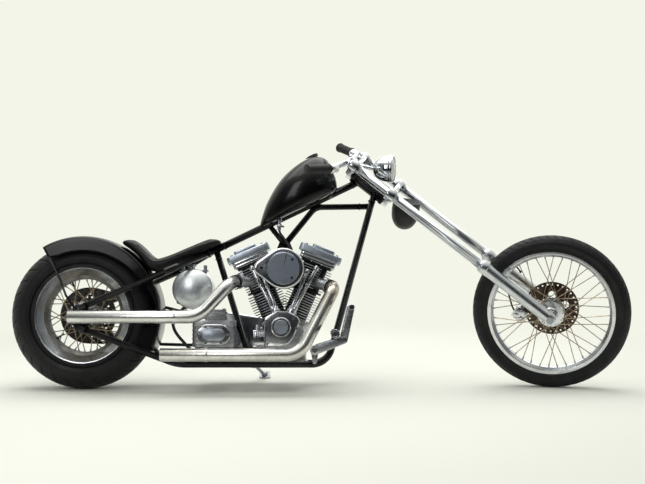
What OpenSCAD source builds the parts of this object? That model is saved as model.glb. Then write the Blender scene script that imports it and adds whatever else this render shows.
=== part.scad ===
// Chopper motorcycle, leaning on its side stand with its steering on the right-hand stop.
// The machine is drawn upright and straight, with +X forward, +Y to its left and +Z up, then
// turned and leaned into its parked place. Millimetres and degrees throughout.

/* [Parking] */
// Lean to the left, onto the side stand
lean = 5.86; // [4:0.01:8]
// Turn of the steering from straight ahead to its stop
lock = 19.73; // [10:0.01:25]
// Distance of the stand's foot from the middle plane of the wheels, on the floor
stand_reach = 338; // [300:1:360]

/* [Rear wheel] */
// Outer radius of the tyre
rear_tyre_r = 325; // [315:1:330]
// Width of the tyre
rear_tyre_w = 200; // [180:1:200]
// Radius of the rim's flanges
rear_flange_r = 222; // [214:0.5:225]
// Width over the rim's flanges
rear_rim_w = 160; // [140:1:165]
// Depth of the rim's well below its bead seats
rear_well = 44; // [15:1:48]

/* [Front wheel] */
// Outer radius of the tyre
front_tyre_r = 346; // [330:1:350]
// Width of the tyre
front_tyre_w = 85; // [80:1:95]
// Radius of the rim's flanges
front_flange_r = 279.5; // [275:0.5:285]
// Width over the rim's flanges
front_rim_w = 66; // [60:1:70]
// Depth of the rim's well below its bead seats
front_well = 10; // [6:1:16]

/* [Steering head] */
// Angle of the steering axis from the vertical
rake = 51.9; // [45:0.1:55]
// Distance of the head's centre ahead of the rear axle
head_x = 1265.4; // [1240:0.1:1290]
// Height of the head's centre above the floor
head_z = 900.6; // [880:0.1:920]
// Length of the head tube
head_len = 176; // [160:1:180]
// Radius of the head tube
head_r = 30; // [28:0.5:34]
// Distance of the fork legs ahead of the steering axis
fork_offset = 60; // [50:1:70]
// Distance of each fork leg from the middle plane
leg_y = 120; // [110:1:130]
// Radius of the fork's chromed tubes
fork_tube_r = 20.5; // [19:0.5:22]
// Radius of the fork's sliders
slider_r = 28.5; // [26:0.5:30]
// Length of a slider above the axle
slider_len = 380; // [340:1:400]

/* [Frame] */
// Radius of the backbone tube
backbone_r = 16; // [14:0.5:19]
// Radius of the cradle and stay tubes
cradle_r = 14; // [12:0.5:15]
// Height of the lower rails' centre line
rail_z = 111; // [105:1:120]
// Distance of each lower rail from the middle plane
rail_y = 120; // [115:1:125]
// Distance of each rear stay's end from the middle plane
stay_y = 150; // [146:1:154]

/* [Engine] */
// Distance of the crankshaft ahead of the rear axle
crank_x = 887; // [880:1:895]
// Height of the crankshaft
crank_z = 211; // [205:1:215]
// Angle of each cylinder from the vertical
bank = 22.5; // [22:0.1:23]
// Radius of the exhaust pipes
pipe_r = 28.5; // [25:0.5:30]
// Wall of the exhaust pipes
pipe_wall = 2.5; // [1.5:0.1:3]
// Height of the upper exhaust pipe
upper_pipe_z = 317; // [312:1:322]
// Height of the lower exhaust pipe
lower_pipe_z = 155; // [152:1:160]

/* [Bodywork] */
// Radius of the rear fender's crown, from the axle
fender_r = 351; // [345:1:356]
// Width of the rear fender
fender_w = 226; // [222:1:230]
// Width of the seat at its back
seat_w = 240; // [210:1:260]
// Width of the fuel tank
tank_w = 250; // [220:1:280]
// Height of the fuel tank above the backbone
tank_h = 195; // [180:1:200]

/* [Hidden] */
$fn = 48;

// Running clearance of pins and bearings
run = 0.05;

// A bend is drawn this much fuller than its straights, which reach this far into it
bend_swell = 0.1;
bend_lap = 1.5;

// Axes of the straight steering head: up along the steering axis, and forward across it
steer_up = [-sin(rake), 0, cos(rake)];
steer_fore = [cos(rake), 0, sin(rake)];
head = [head_x, 0, head_z];

// Crown radius of each tyre is half its width, so each tread is a round tube
rear_crown = rear_tyre_w / 2;
front_crown = front_tyre_w / 2;
lift = rear_crown * (1 - cos(lean));

// Front wheel's axle direction and fork offset once turned to the right-hand stop
turned_axle = [sin(lock) * cos(rake), cos(lock), sin(lock) * sin(rake)];
turned_offset = [cos(lock) * cos(rake), -sin(lock), cos(lock) * sin(rake)] * fork_offset;
axle_rise = turned_axle.z * cos(lean) - turned_axle.y * sin(lean);
ride_z = (front_tyre_r - front_crown) * sqrt(1 - axle_rise * axle_rise) + front_crown;
// Distance from the head's centre down to the front axle that stands both tyres on the floor
fork_len = (head_z + turned_offset.z - tan(lean) * turned_offset.y + (lift - ride_z) / cos(lean))
    / steer_up.z;

// Middle of the parked machine's box, from the rear tyre's contact point: between both tyres along,
// and between the left grip's end and the right foot peg's end across
front_reach = (front_tyre_r - front_crown) * sqrt(1 - turned_axle.x * turned_axle.x) + front_crown;
plan_x = (head_x + fork_len * sin(rake) + turned_offset.x + front_reach - rear_tyre_r) / 2;
plan_y = 101.92;

tree_t = 22;
tree_gap = 3;
upper_tree_z = head_len / 2 + tree_gap;
lower_tree_z = -upper_tree_z - tree_t;
tube_top = upper_tree_z + tree_t + 6;
stem_r = 20;
front_axle_r = 10;
rear_axle_r = 12;
disc_y = 68;

// Frame's joints
backbone_rear = [584, 0, 619];
down_top = [1290, 16, 878];
down_foot = [1078, rail_y - 2, rail_z];
rail_front = [1000, rail_y, rail_z];
rail_bend = [425, rail_y + 2, rail_z];
plate_y = 128;
plate_t = 9;
rail_gap = rail_y - cradle_r + 2;

// Engine heights along each cylinder's own axis, from the crankshaft
deck_h = 112;
barrel_h = 250;
head_h = 374;
cover_h = 401;
top_h = 449;
case_half = 75;
gear_half = 150;

// Drive line: middle plane of the chain, and the gearbox's shaft
chain_y = 114;
gearbox = [600, 0, 240];
sprocket_r = 112;
drive_r = 44;
chain_gap = 2;
chain_h = 14;

// Controls
peg = [1112, 245];
pedal_pivot = [1023, 173];
pedal_elbow = [1150, 218];
pedal_toe = [1181, 359];

// Handlebar's centre line, by distance from the middle plane
bar_route = [[1202, 0, 1035], [1190, 140, 1029], [1142, 255, 1020], [1067, 350, 1031]];
bar_r = 12.7;
grip_r = 20;
grip_len = 121;

// Stand's pivot, and the foot's centre on the floor
stand_pivot = [742, 154, 104];
stand_foot = [784, stand_reach, 0];
foot_t = 9;

// Vectors and frames
function unit(v) = v / norm(v);
function mirror_y(p, side) = [p.x, side * p.y, p.z];
function to_head(p) = [(p - head) * steer_fore, p.y, (p - head) * steer_up];
function along_bank(side, across, y, up) =
    [crank_x + side * (up * sin(bank) - across * cos(bank)), y,
     crank_z + up * cos(bank) + across * sin(bank)];
// A point of the parked machine, in the upright machine's own axes
function upright(p) =
    let (z = p.z - lift)
    [p.x, p.y * cos(lean) - z * sin(lean), p.y * sin(lean) + z * cos(lean)];

module placed(o, ex, ey, ez) {
    multmatrix([[ex.x, ey.x, ez.x, o.x],
                [ex.y, ey.y, ez.y, o.y],
                [ex.z, ey.z, ez.z, o.z],
                [0, 0, 0, 1]]) children();
}

module parked() {
    translate([-plan_x, -plan_y, lift]) rotate([-lean, 0, 0]) children();
}

module front_end() {
    parked() translate(head) rotate([0, -rake, 0]) rotate([0, 0, -lock]) children();
}

module front_wheel() {
    front_end() translate([fork_offset, 0, -fork_len]) rotate([-90, 0, 0]) children();
}

module rear_wheel() {
    parked() translate([0, 0, rear_tyre_r]) rotate([-90, 0, 0]) children();
}

module both_sides() {
    for (side = [-1, 1]) mirror([0, side < 0 ? 1 : 0, 0]) children();
}

// Round bar from p to q
module rod(p, q, r) {
    d = q - p;
    translate(p) rotate([0, acos(d.z / norm(d)), atan2(d.y, d.x)]) cylinder(h = norm(d), r = r);
}

// Length that a bend of this radius takes off each straight at corner i
function trim(pts, i, bend) =
    i == 0 || i == len(pts) - 1 ? 0 :
    let (a = unit(pts[i] - pts[i - 1]), b = unit(pts[i + 1] - pts[i]))
    bend * tan(acos(a * b) / 2);

module elbow(p, a, b, bend, r) {
    side = unit(b - a * (a * b));
    centre = p - bend * tan(acos(a * b) / 2) * a + bend * side;
    placed(centre, -side, a, cross(-side, a))
        rotate_extrude(angle = acos(a * b)) translate([bend, 0]) circle(r + bend_swell);
}

// Round tube through pts, with a bend of bends[i] at corner i. Straights run a little into the bends.
module bent_tube(pts, r, bends) {
    last = len(pts) - 1;
    for (i = [0 : last - 1]) {
        d = unit(pts[i + 1] - pts[i]);
        rod(pts[i] + (trim(pts, i, bends[i]) - (i > 0 ? bend_lap : 0)) * d,
            pts[i + 1] - (trim(pts, i + 1, bends[i + 1]) - (i + 1 < last ? bend_lap : 0)) * d, r);
    }
    for (i = [1 : len(pts) - 2])
        elbow(pts[i], unit(pts[i] - pts[i - 1]), unit(pts[i + 1] - pts[i]), bends[i], r);
}

// Plate outline round two circles and, a hair inside them, their outer tangents
module link2d(p, rp, q, rq) {
    d = q - p;
    turn = acos((rp - rq) / norm(d));
    heading = atan2(d.y, d.x);
    translate(p) circle(rp);
    translate(q) circle(rq);
    polygon([for (corner = [[p, rp, turn], [q, rq, turn], [q, rq, -turn], [p, rp, -turn]])
        corner[0] + (corner[1] - 0.1) * [cos(heading + corner[2]), sin(heading + corner[2])]]);
}

// Block with four upright round corners, centred on the origin, standing on z = 0
module slab(w, d, h, r) {
    linear_extrude(h) {
        square([w - 2 * r, d], center = true);
        square([w, d - 2 * r], center = true);
        for (x = [-1, 1]) for (y = [-1, 1])
            translate([x * (w / 2 - r), y * (d / 2 - r)]) circle(r);
    }
}

// Side-view outline in x and z, drawn from y0 to y1
module side_plate(y0, y1) {
    translate([0, y1, 0]) rotate([90, 0, 0]) linear_extrude(y1 - y0) children();
}

// Swept cord: rings of eight sides along a route of points
module cord(route, r) {
    n = 8;
    tangents = [for (i = [0 : len(route) - 1])
        unit(route[min(i + 1, len(route) - 1)] - route[max(i - 1, 0)])];
    sides = [for (t = tangents) unit(cross(t, abs(t.y) < 0.9 ? [0, 1, 0] : [0, 0, 1]))];
    points = [for (i = [0 : len(route) - 1]) for (k = [0 : n - 1])
        route[i] + r * (cos(360 * k / n) * sides[i] + sin(360 * k / n) * cross(tangents[i], sides[i]))];
    last = len(route) - 1;
    faces = concat(
        [[for (k = [0 : n - 1]) n - 1 - k]],
        [for (i = [0 : last - 1]) for (k = [0 : n - 1]) let (m = (k + 1) % n)
            [i * n + k, i * n + m, (i + 1) * n + m, (i + 1) * n + k]],
        [[for (k = [0 : n - 1]) last * n + k]]);
    polyhedron(points, [for (f = faces) [for (i = [len(f) - 1 : -1 : 0]) f[i]]]);
}

// A route's points with each stretch cut into steps along a smooth curve through them
function smooth(pts, steps) =
    let (n = len(pts) - 1)
    concat([for (i = [0 : n - 1]) for (s = [0 : steps - 1]) let (
        t = s / steps, a = pts[max(i - 1, 0)], b = pts[i], c = pts[i + 1], d = pts[min(i + 2, n)])
        0.5 * (2 * b + (c - a) * t + (2 * a - 5 * b + 4 * c - d) * t * t
            + (3 * b - a - 3 * c + d) * t * t * t)], [pts[n]]);

// ---- Frame

module head_bore() {
    translate(head) rotate([0, -rake, 0]) cylinder(h = head_len + 2, r = stem_r, center = true);
}

module head_space() {
    translate(head) rotate([0, -rake, 0]) cylinder(h = head_len + 60, r = head_r, center = true);
}

module neck() {
    color("black") parked() difference() {
        translate(head) rotate([0, -rake, 0]) union() {
            cylinder(h = head_len, r = head_r, center = true);
            for (z = [-head_len / 2, head_len / 2 - 16]) translate([0, 0, z]) cylinder(h = 16, r = head_r + 3);
        }
        head_bore();
    }
}

module backbone() {
    color("black") parked() difference() {
        rod(backbone_rear, [1229.8, 0, 928.8], backbone_r);
        head_space();
    }
}

module upper_stays() {
    color("black") parked() both_sides()
        bent_tube([backbone_rear, [400, stay_y - 4, 527], [2, stay_y, 355]], cradle_r, [0, 110, 0]);
}

module downtubes() {
    color("black") parked() difference() {
        both_sides() bent_tube([down_top, down_foot, rail_front], cradle_r, [0, 90, 0]);
        head_space();
    }
}

// Frame at the stand's pivot: z along its axis, y out from the rail
module at_stand() {
    out = unit(cross(stand_axis(), [1, 0, 0]));
    placed(stand_pivot, cross(out, stand_axis()), out, stand_axis()) children();
}

module stand_lug() {
    at_stand() {
        for (z = [-14, 8.5]) translate([0, 0, z]) {
            cylinder(h = 5.5, r = 14);
            translate([-14, -34, 0]) cube([28, 34, 5.5]);
        }
        translate([0, 0, -18]) cylinder(h = 36, r = 6);
    }
}

module lower_rails() {
    color("black") parked() {
        both_sides() bent_tube([rail_front, rail_bend, [2, stay_y, 270]], cradle_r, [0, 200, 0]);
        stand_lug();
    }
}

module seat_tube() {
    color("black") parked() {
        rod([584, 0, 608], [738, 0, rail_z], cradle_r);
        rod([738, -rail_y, rail_z], [738, rail_y, rail_z], cradle_r - 2);
        rod([336, -126, 160], [336, 126, 160], cradle_r - 4);
    }
}

module top_brace() {
    color("black") parked() {
        bent_tube([[1266, 0, 812], [1024, 0, 809], [895, 0, 650]], 13.5, [0, 60, 0]);
        rod([822, 0, 722], [886, 0, 642], 11.5);
        side_plate(-4, 4) polygon([[crank_x - 66, 520], [crank_x + 66, 520], [crank_x + 66, 545],
            [crank_x + 22, 655], [crank_x - 22, 655], [crank_x - 66, 545]]);
    }
}

module axle_plates() {
    color("black") parked() both_sides() difference() {
        side_plate(plate_y, plate_y + plate_t)
            polygon([[-34, 345], [-16, 372], [34, 374], [46, 300], [34, 262], [-14, 254], [-34, 290]]);
        rod([0, 0, rear_tyre_r], [0, 200, rear_tyre_r], rear_axle_r);
    }
}

module rear_axle() {
    color("silver") rear_wheel() {
        cylinder(h = 2 * stay_y - 4, r = rear_axle_r, center = true);
        for (side = [-1, 1]) scale([1, 1, side]) {
            translate([0, 0, plate_y + plate_t]) cylinder(h = 12, r = 19, $fn = 6);
            translate([0, 0, 104.5]) cylinder(h = plate_y - 104.5, r = 20);
        }
    }
}

// ---- Rear fender, seat and tanks

// Strip of fender between two angles from the forward direction, with side skirts down to skirt_r
module fender_strip(from, to, r, half_w, skirt_r) {
    t = 3;
    rotate([0, 0, -to]) rotate_extrude(angle = to - from) polygon([
        [skirt_r, -half_w], [r - 14, -half_w], [r - 2, -half_w + 30], [r, 0], [r - 2, half_w - 30],
        [r - 14, half_w], [skirt_r, half_w], [skirt_r, half_w - t], [r - 15, half_w - t],
        [r - 2 - t, half_w - 31], [r - t, 0], [r - 2 - t, 31 - half_w], [r - 15, t - half_w],
        [skirt_r, t - half_w]]);
}

module rear_fender() {
    color("black") rear_wheel() {
        fender_strip(22, 120, fender_r, fender_w / 2, 275);
        fender_strip(-28, 23, fender_r - 1, fender_w / 2 - 9, 330);
    }
}

module fender_struts() {
    color("black") parked() both_sides()
        bent_tube([[-138, 114, 575], [-92, 125, 488], [-62, 131, 412], [-20, 133, 352]], 5, [0, 40, 40, 0]);
}

module seat() {
    color("dimgray") parked() difference() {
        intersection() {
            side_plate(-seat_w / 2, seat_w / 2) polygon([[184, 667], [162, 640], [160, 628],
                [222, 566], [265, 536], [298, 506], [330, 498], [385, 522], [455, 563], [530, 602], [600, 640], [611, 652],
                [598, 671], [570, 675], [446, 624], [369, 589], [334, 581], [308, 585], [261, 626], [210, 667]]);
            linear_extrude(800) polygon([[150, -0.40 * seat_w], [210, -0.5 * seat_w], [360, -0.5 * seat_w],
                [480, -0.42 * seat_w], [600, -0.26 * seat_w], [620, -0.2 * seat_w], [620, 0.2 * seat_w],
                [600, 0.26 * seat_w], [480, 0.42 * seat_w], [360, 0.5 * seat_w], [210, 0.5 * seat_w],
                [150, 0.40 * seat_w]]);
        }
        translate([0, 0, rear_tyre_r]) rotate([-90, 0, 0]) cylinder(h = 300, r = fender_r + 2, center = true);
        rod([184, 0, 428], [784, 0, 714.6], backbone_r + 2);
        both_sides() rod(backbone_rear, [400, stay_y - 4, 527], cradle_r + 3);
        both_sides() rod([400, stay_y - 4, 527], [2, stay_y, 355], cradle_r + 3);
    }
}

// Fuel tank: half width, underside and top at each distance along the backbone
tank_sections = [
    // along, half width share, bottom, top share
    [6, 0.08, 2, 0.06],
    [22, 0.26, 0, 0.17],
    [40, 0.42, -2, 0.27],
    [65, 0.56, -3, 0.41],
    [95, 0.69, -4, 0.535],
    [135, 0.82, -4, 0.685],
    [181, 0.93, -4, 0.82],
    [225, 0.99, -4, 0.905],
    [270, 1.0, -4, 0.965],
    [310, 0.97, -4, 0.995],
    [340, 0.90, -3, 0.995],
    [365, 0.80, -1, 0.965],
    [385, 0.66, 4, 0.90],
    [398, 0.50, 30, 0.84],
    [406, 0.34, 80, 0.77]];
tank_n = 32;

// Ring of a tank section: full sides below, narrowing to a rounded ridge
function tank_ring(s) = [for (k = [0 : tank_n - 1]) let (
    a = 360 * (k + 0.5) / tank_n,
    mid = (s[3] * tank_h + s[2]) * 0.36,
    w = s[1] * tank_w / 2,
    c = cos(a), t = sin(a),
    p = t > 0 ? 0.8 : 0.5)
    [s[0], w * sign(c) * pow(abs(c), p),
     mid + (t > 0 ? (s[3] * tank_h - mid) * pow(t, 0.9) : (mid - s[2]) * -pow(-t, 0.6))]];

module tank_solid() {
    points = [for (s = tank_sections) for (q = tank_ring(s)) q];
    m = len(tank_sections);
    polyhedron(points, concat(
        [[for (k = [0 : tank_n - 1]) k]],
        [for (i = [0 : m - 2]) for (k = [0 : tank_n - 1]) let (j = (k + 1) % tank_n)
            [i * tank_n + k, (i + 1) * tank_n + k, (i + 1) * tank_n + j, i * tank_n + j]],
        [[for (k = [0 : tank_n - 1]) (m - 1) * tank_n + tank_n - 1 - k]]));
}

// Frame along the backbone, at the tank's tail
module on_backbone() {
    slope = atan2(928.8 - backbone_rear.z, 1229.8 - backbone_rear.x);
    translate([776, 0, 711]) rotate([0, -slope, 0]) children();
}

module fuel_tank() {
    color("black") parked() on_backbone() difference() {
        tank_solid();
        translate([-20, 0, 0]) rotate([0, 90, 0]) cylinder(h = 460, r = backbone_r + 3);
        translate([-20, -backbone_r - 3, -40]) cube([460, 2 * backbone_r + 6, 40]);
    }
}

module fuel_cap() {
    color("black") parked() on_backbone() translate([350, 0, tank_h - 8]) {
        cylinder(h = 8, r = 27);
        translate([0, 0, 8]) cylinder(h = 4, r = 22);
    }
}

module fuel_valve() {
    color("silver") parked() {
        rod([864, -42, 706], [864, -42, 752], 9);
        rod([864, -42, 722], [864, -68, 722], 6);
    }
}

fuel_route = [[864, -42, 706], [868, -46, 690], [884, -58, 668], [906, -72, 634], [918, -82, 600], [912, -90, 566], [900, -92, 522]];

module fuel_hose() {
    color("black") parked() cord(smooth(fuel_route, 3), 5);
}

module oil_tank() {
    color("silver") parked() translate([483, 0, 441]) {
        intersection() {
            rotate([90, 0, 0]) cylinder(h = 240, r = 87, center = true);
            translate([0, -31, 0]) sphere(141);
            translate([0, 31, 0]) sphere(141);
        }
        for (x = [-50, 50]) rod([x, 0, 60], [x, 0, 108], 8);
    }
}

module oil_cap() {
    color("silver") parked() translate([476, -38, 527]) {
        cylinder(h = 14, r = 15);
        translate([0, 0, 14]) cylinder(h = 12, r = 19.5);
    }
}

oil_route = [[452, -62, 364], [436, -84, 346], [412, -108, 318], [404, -116, 290], [416, -118, 252],
             [448, -117, 212], [490, -114, 172], [560, -108, 152], [650, -104, 148], [720, -106, 156],
             [768, -108, 190]];

module oil_hose() {
    color("black") parked() cord(smooth(oil_route, 3), 7);
}

// ---- Engine and drive

module on_bank(side) {
    translate([crank_x, 0, crank_z]) rotate([0, side * bank, 0]) children();
}

module crankcase() {
    color("silver") parked() {
        translate([crank_x, 0, crank_z]) rotate([90, 0, 0]) cylinder(h = 2 * case_half, r = 103, center = true);
        for (side = [-1, 1]) on_bank(side) translate([0, 0, 60]) cylinder(h = deck_h - 60, r = 66);
        translate([crank_x - 96, -case_half, 118]) cube([192, 2 * case_half, 50]);
        for (x = [-104, 74]) translate([crank_x + x, -rail_gap, 118]) cube([30, 2 * rail_gap, 10]);
        translate([crank_x, case_half, crank_z]) rotate([-90, 0, 0]) cylinder(h = 132 - case_half, r = 60);
    }
}

module cam_cover() {
    color("silver") parked() {
        side_plate(-gear_half, -case_half) polygon([[858, 343], [906, 343], [958, 312], [956, 290],
            [930, 226], [912, 202], [880, 188], [806, 188], [806, 314]]);
        rod([877, -gear_half, 273], [877, -gear_half - 15, 273], 39);
    }
}

// Cooling fins: a comb of rings round a barrel, turned about its axis
module finned_barrel(core, outer, from, to, pitch) {
    count = floor((to - from) / pitch);
    rotate_extrude() union() {
        translate([0, from]) square([core, to - from]);
        for (i = [0 : count - 1]) translate([0, from + (i + 0.3) * pitch]) square([outer, 3]);
    }
}

module cylinders() {
    color("silver") parked() {
        for (side = [-1, 1]) on_bank(side) {
            finned_barrel(52, 67, deck_h, barrel_h, 9.3);
            translate([0, 0, barrel_h]) slab(140, 110, head_h - barrel_h, 20);
        }
        rod(along_bank(-1, 40, -30, 300), [686, -90, 474], 25);
        rod(along_bank(1, 40, -30, 300), [1086, -94, 450], 25);
    }
}

module rocker_boxes() {
    color("silver") parked() for (side = [-1, 1]) on_bank(side) {
        translate([0, 0, head_h]) slab(166, 136, cover_h - head_h, 14);
        translate([0, 0, cover_h]) slab(196, 144, top_h - cover_h, 18);
    }
}

module pushrod_tubes() {
    color("silver") parked() {
        for (side = [-1, 1]) {
            rod([crank_x + side * 43, -100, 343], [crank_x + side * 146, -66, 541], 9);
            rod([crank_x + side * 30, -104, 348], [crank_x + side * 106, -68, 525], 9);
            rod([crank_x + side * 26, -102, 324], [crank_x + side * 40, -100, 352], 21);
        }
    }
}

module air_cleaner() {
    color("silver") parked() {
        side_plate(-206, -142) link2d([crank_x + 1, 526], 89, [794, 528], 33);
        rod([crank_x + 1, -206, 526], [crank_x + 1, -213, 526], 68);
    }
}

module carburettor() {
    color("silver") parked() {
        rod([crank_x, -142, 498], [crank_x, -20, 498], 30);
        rod([836, 0, 470], [938, 0, 470], 20);
        rod([crank_x, -24, 496], [crank_x, 2, 474], 17);
    }
}

module oil_pump() {
    color("silver") parked() {
        translate([755, -140, 188]) cube([50, 64, 70]);
        rod([772, -108, 256], [772, -108, 282], 8);
    }
}

module transmission() {
    color("silver") parked() {
        translate([580, 0, 186]) slab(188, 210, 116, 24);
        side_plate(-136, -104) link2d([556, 240], 42, [609, 240], 42);
        translate([588, -50, 300]) slab(84, 84, 50, 10);
        translate([480, -rail_gap, 118]) cube([190, 2 * rail_gap, 8]);
        for (x = [510, 650]) for (y = [-70, 70]) rod([x, y, 124], [x, y, 190], 14);
        rod([gearbox.x, 100, gearbox.z], [gearbox.x, 134, gearbox.z], 22);
        rod([gearbox.x, chain_y - 4, gearbox.z], [gearbox.x, chain_y + 4, gearbox.z], drive_r);
    }
}

module primary_cover() {
    color("silver") parked() {
        side_plate(134, 184) link2d([crank_x, crank_z + 4], 84, [gearbox.x, gearbox.z], 104);
        side_plate(184, 192) link2d([crank_x, crank_z + 4], 74, [gearbox.x, gearbox.z], 92);
        rod([gearbox.x, 192, gearbox.z], [gearbox.x, 200, gearbox.z], 78);
    }
}

module drive_chain() {
    color("dimgray") parked() side_plate(chain_y - 7, chain_y + 7) difference() {
        link2d([0, rear_tyre_r], sprocket_r + chain_gap + chain_h,
            [gearbox.x, gearbox.z], drive_r + chain_gap + chain_h);
        link2d([0, rear_tyre_r], sprocket_r + chain_gap, [gearbox.x, gearbox.z], drive_r + chain_gap);
    }
}

module rear_caliper() {
    color("silver") parked() {
        difference() {
            translate([62, 96, 296]) cube([40, 30, 58]);
            translate([40, chain_y - 5, 280]) cube([80, 10, 90]);
        }
        translate([30, 122, 316]) cube([40, 7, 18]);
    }
}

// Exhaust: bent pipe whose tail is open, and its collar at the port
module exhaust(route, bends) {
    tail = route[len(route) - 1];
    difference() {
        bent_tube(route, pipe_r, bends);
        rod(tail + [200, 0, 0], tail - [1, 0, 0], pipe_r - pipe_wall);
    }
}

rear_exhaust_route = [[676, -96, 470], [648, -178, 455], [524, -215, upper_pipe_z], [-34, -215, upper_pipe_z]];
front_exhaust_route = [[1093, -104, 448], [1106, -158, 440], [958, -226, lower_pipe_z], [364, -226, lower_pipe_z]];

module rear_exhaust() {
    color("silver") parked() exhaust(rear_exhaust_route, [0, 60, 110, 0]);
}

module front_exhaust() {
    color("silver") parked() exhaust(front_exhaust_route, [0, 42, 95, 0]);
}

// ---- Controls

module pedal() {
    side_plate(170, 182) {
        link2d(pedal_pivot, 20, pedal_elbow, 16);
        link2d(pedal_elbow, 16, pedal_toe, 15);
    }
    rod([pedal_pivot.x, 126, pedal_pivot.y], [pedal_pivot.x, 190, pedal_pivot.y], 15);
    side_plate(126, 136) link2d(pedal_pivot, 18, [pedal_pivot.x, 122], 14);
    rod([pedal_toe.x, 176, pedal_toe.y], [pedal_toe.x, 252, pedal_toe.y], 12);
}

module brake_pedal() {
    color("silver") parked() mirror([0, 1, 0]) pedal();
}

module shift_lever() {
    color("silver") parked() pedal();
}

module foot_pegs() {
    color("silver") parked() both_sides() {
        rod([peg.x, 112, peg.y], [peg.x, 190, peg.y], 14);
        rod([peg.x, 190, peg.y], [peg.x, 285, peg.y], 20);
    }
}

// ---- Front end, in the steering head's axes: x forward across it, z up along it

module tree_outline() {
    for (side = [-1, 1]) link2d([4, 0], 34, [fork_offset, side * leg_y], 28);
    translate([12, -leg_y]) square([fork_offset - 22, 2 * leg_y]);
}

module tree_bores(z) {
    for (side = [-1, 1]) translate([fork_offset, side * leg_y, z - 20])
        cylinder(h = tree_t + 40, r = fork_tube_r + run);
}

module upper_tree() {
    color("silver") front_end() {
        difference() {
            union() {
                translate([0, 0, upper_tree_z]) linear_extrude(tree_t) tree_outline();
                for (side = [-1, 1]) translate([fork_offset, side * leg_y, upper_tree_z - 5])
                    cylinder(h = tree_t + 10, r = 30);
                for (side = [-1, 1]) difference() {
                    translate([fork_offset, side * 46, upper_tree_z + tree_t - 2]) cylinder(h = 40, r = 17);
                    handlebar_space();
                }
            }
            tree_bores(upper_tree_z);
            translate([0, 0, upper_tree_z - 1]) cylinder(h = tree_t - 4, r = stem_r);
        }
        translate([0, 0, upper_tree_z + tree_t]) cylinder(h = 10, r = 17, $fn = 6);
    }
}

module lower_tree() {
    color("silver") front_end() {
        difference() {
            union() {
                translate([0, 0, lower_tree_z]) linear_extrude(tree_t) tree_outline();
                for (side = [-1, 1]) translate([fork_offset, side * leg_y, lower_tree_z - 8])
                    cylinder(h = tree_t + 16, r = 31);
            }
            tree_bores(lower_tree_z);
        }
        translate([0, 0, lower_tree_z + 6]) cylinder(h = upper_tree_z + 8 - lower_tree_z, r = stem_r - run);
    }
}

module fork_tubes() {
    color("silver") front_end() both_sides()
        translate([fork_offset, leg_y, slider_len - fork_len - 190])
            cylinder(h = tube_top + fork_len - slider_len + 190, r = fork_tube_r);
}

module fork_sliders() {
    color("silver") front_end() both_sides() difference() {
        translate([fork_offset, leg_y, -fork_len]) {
            translate([0, 0, -8]) cylinder(h = slider_len + 8, r = slider_r);
            translate([0, 0, slider_len - 32]) cylinder(h = 32, r = slider_r + 2.5);
            rotate([90, 0, 0]) cylinder(h = 2 * slider_r - 10, r = slider_r - 2, center = true);
        }
        translate([fork_offset, leg_y, slider_len - fork_len - 200]) cylinder(h = 201, r = fork_tube_r + run);
        translate([fork_offset, 0, -fork_len]) rotate([-90, 0, 0]) cylinder(h = 200, r = front_axle_r);
    }
}

module front_axle() {
    color("silver") front_wheel() {
        cylinder(h = 2 * (leg_y + slider_r) + 4, r = front_axle_r, center = true);
        for (side = [-1, 1]) scale([1, 1, side]) {
            translate([0, 0, leg_y + slider_r - 4]) cylinder(h = 10, r = 16, $fn = 6);
            translate([0, 0, 80.5]) cylinder(h = leg_y - slider_r - 80.5, r = 16);
        }
    }
}

bar_pts = concat([for (i = [3 : -1 : 1]) to_head(mirror_y(bar_route[i], -1))],
                 [for (i = [1 : 3]) to_head(bar_route[i])]);

module handlebar_space() {
    rod(to_head([1202, -90, 1035]), to_head([1202, 90, 1035]), bar_r + 0.1);
}

module handlebar() {
    color("silver") front_end() {
        bent_tube([bar_pts[0], bar_pts[1], bar_pts[2], to_head([1202, -90, 1035]), to_head([1202, 90, 1035]),
            bar_pts[3], bar_pts[4], bar_pts[5]], bar_r, [0, 60, 60, 60, 60, 60, 60, 0]);
    }
}

module grips() {
    color("black") front_end() for (ends = [[bar_pts[0], bar_pts[1]], [bar_pts[5], bar_pts[4]]]) {
        d = unit(ends[1] - ends[0]);
        difference() {
            rod(ends[0] - 6 * d, ends[0] + (grip_len - 6) * d, grip_r);
            rod(ends[0], ends[0] + grip_len * d, bar_r + 0.05);
        }
    }
}

headlight_centre = to_head([1366, 0, 982]);
lamp_axis = [sin(90 + rake), 0, cos(90 + rake)];

module headlight() {
    color("silver") front_end() {
        translate(headlight_centre) rotate([0, 90 + rake, 0]) headlight_shell();
        rod(headlight_centre - 76 * lamp_axis, [46, 0, upper_tree_z + 13], 8);
    }
}

// Lamp turned about z, its glass towards +z
module headlight_shell() {
    rotate_extrude() polygon([[0, -82], [16, -81], [32, -73], [46, -58], [55, -38], [60, -16],
        [62.5, -12], [62.5, 9], [59, 11], [40, 15], [20, 17.5], [0, 18]]);
}

module horn() {
    color("black") front_end() {
        translate(to_head([1434, 0, 832])) rotate([0, rake + 9, 0]) rotate_extrude()
            polygon([[0, -124], [22, -120], [42, -106], [55, -84], [61, -58], [62, -34], [60, -8], [63, 0],
                [63, 4], [0, 4]]);
        rod([28, 0, lower_tree_z - 37], [28, 0, lower_tree_z + 3], 8);
    }
}

// ---- Front brake

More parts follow.
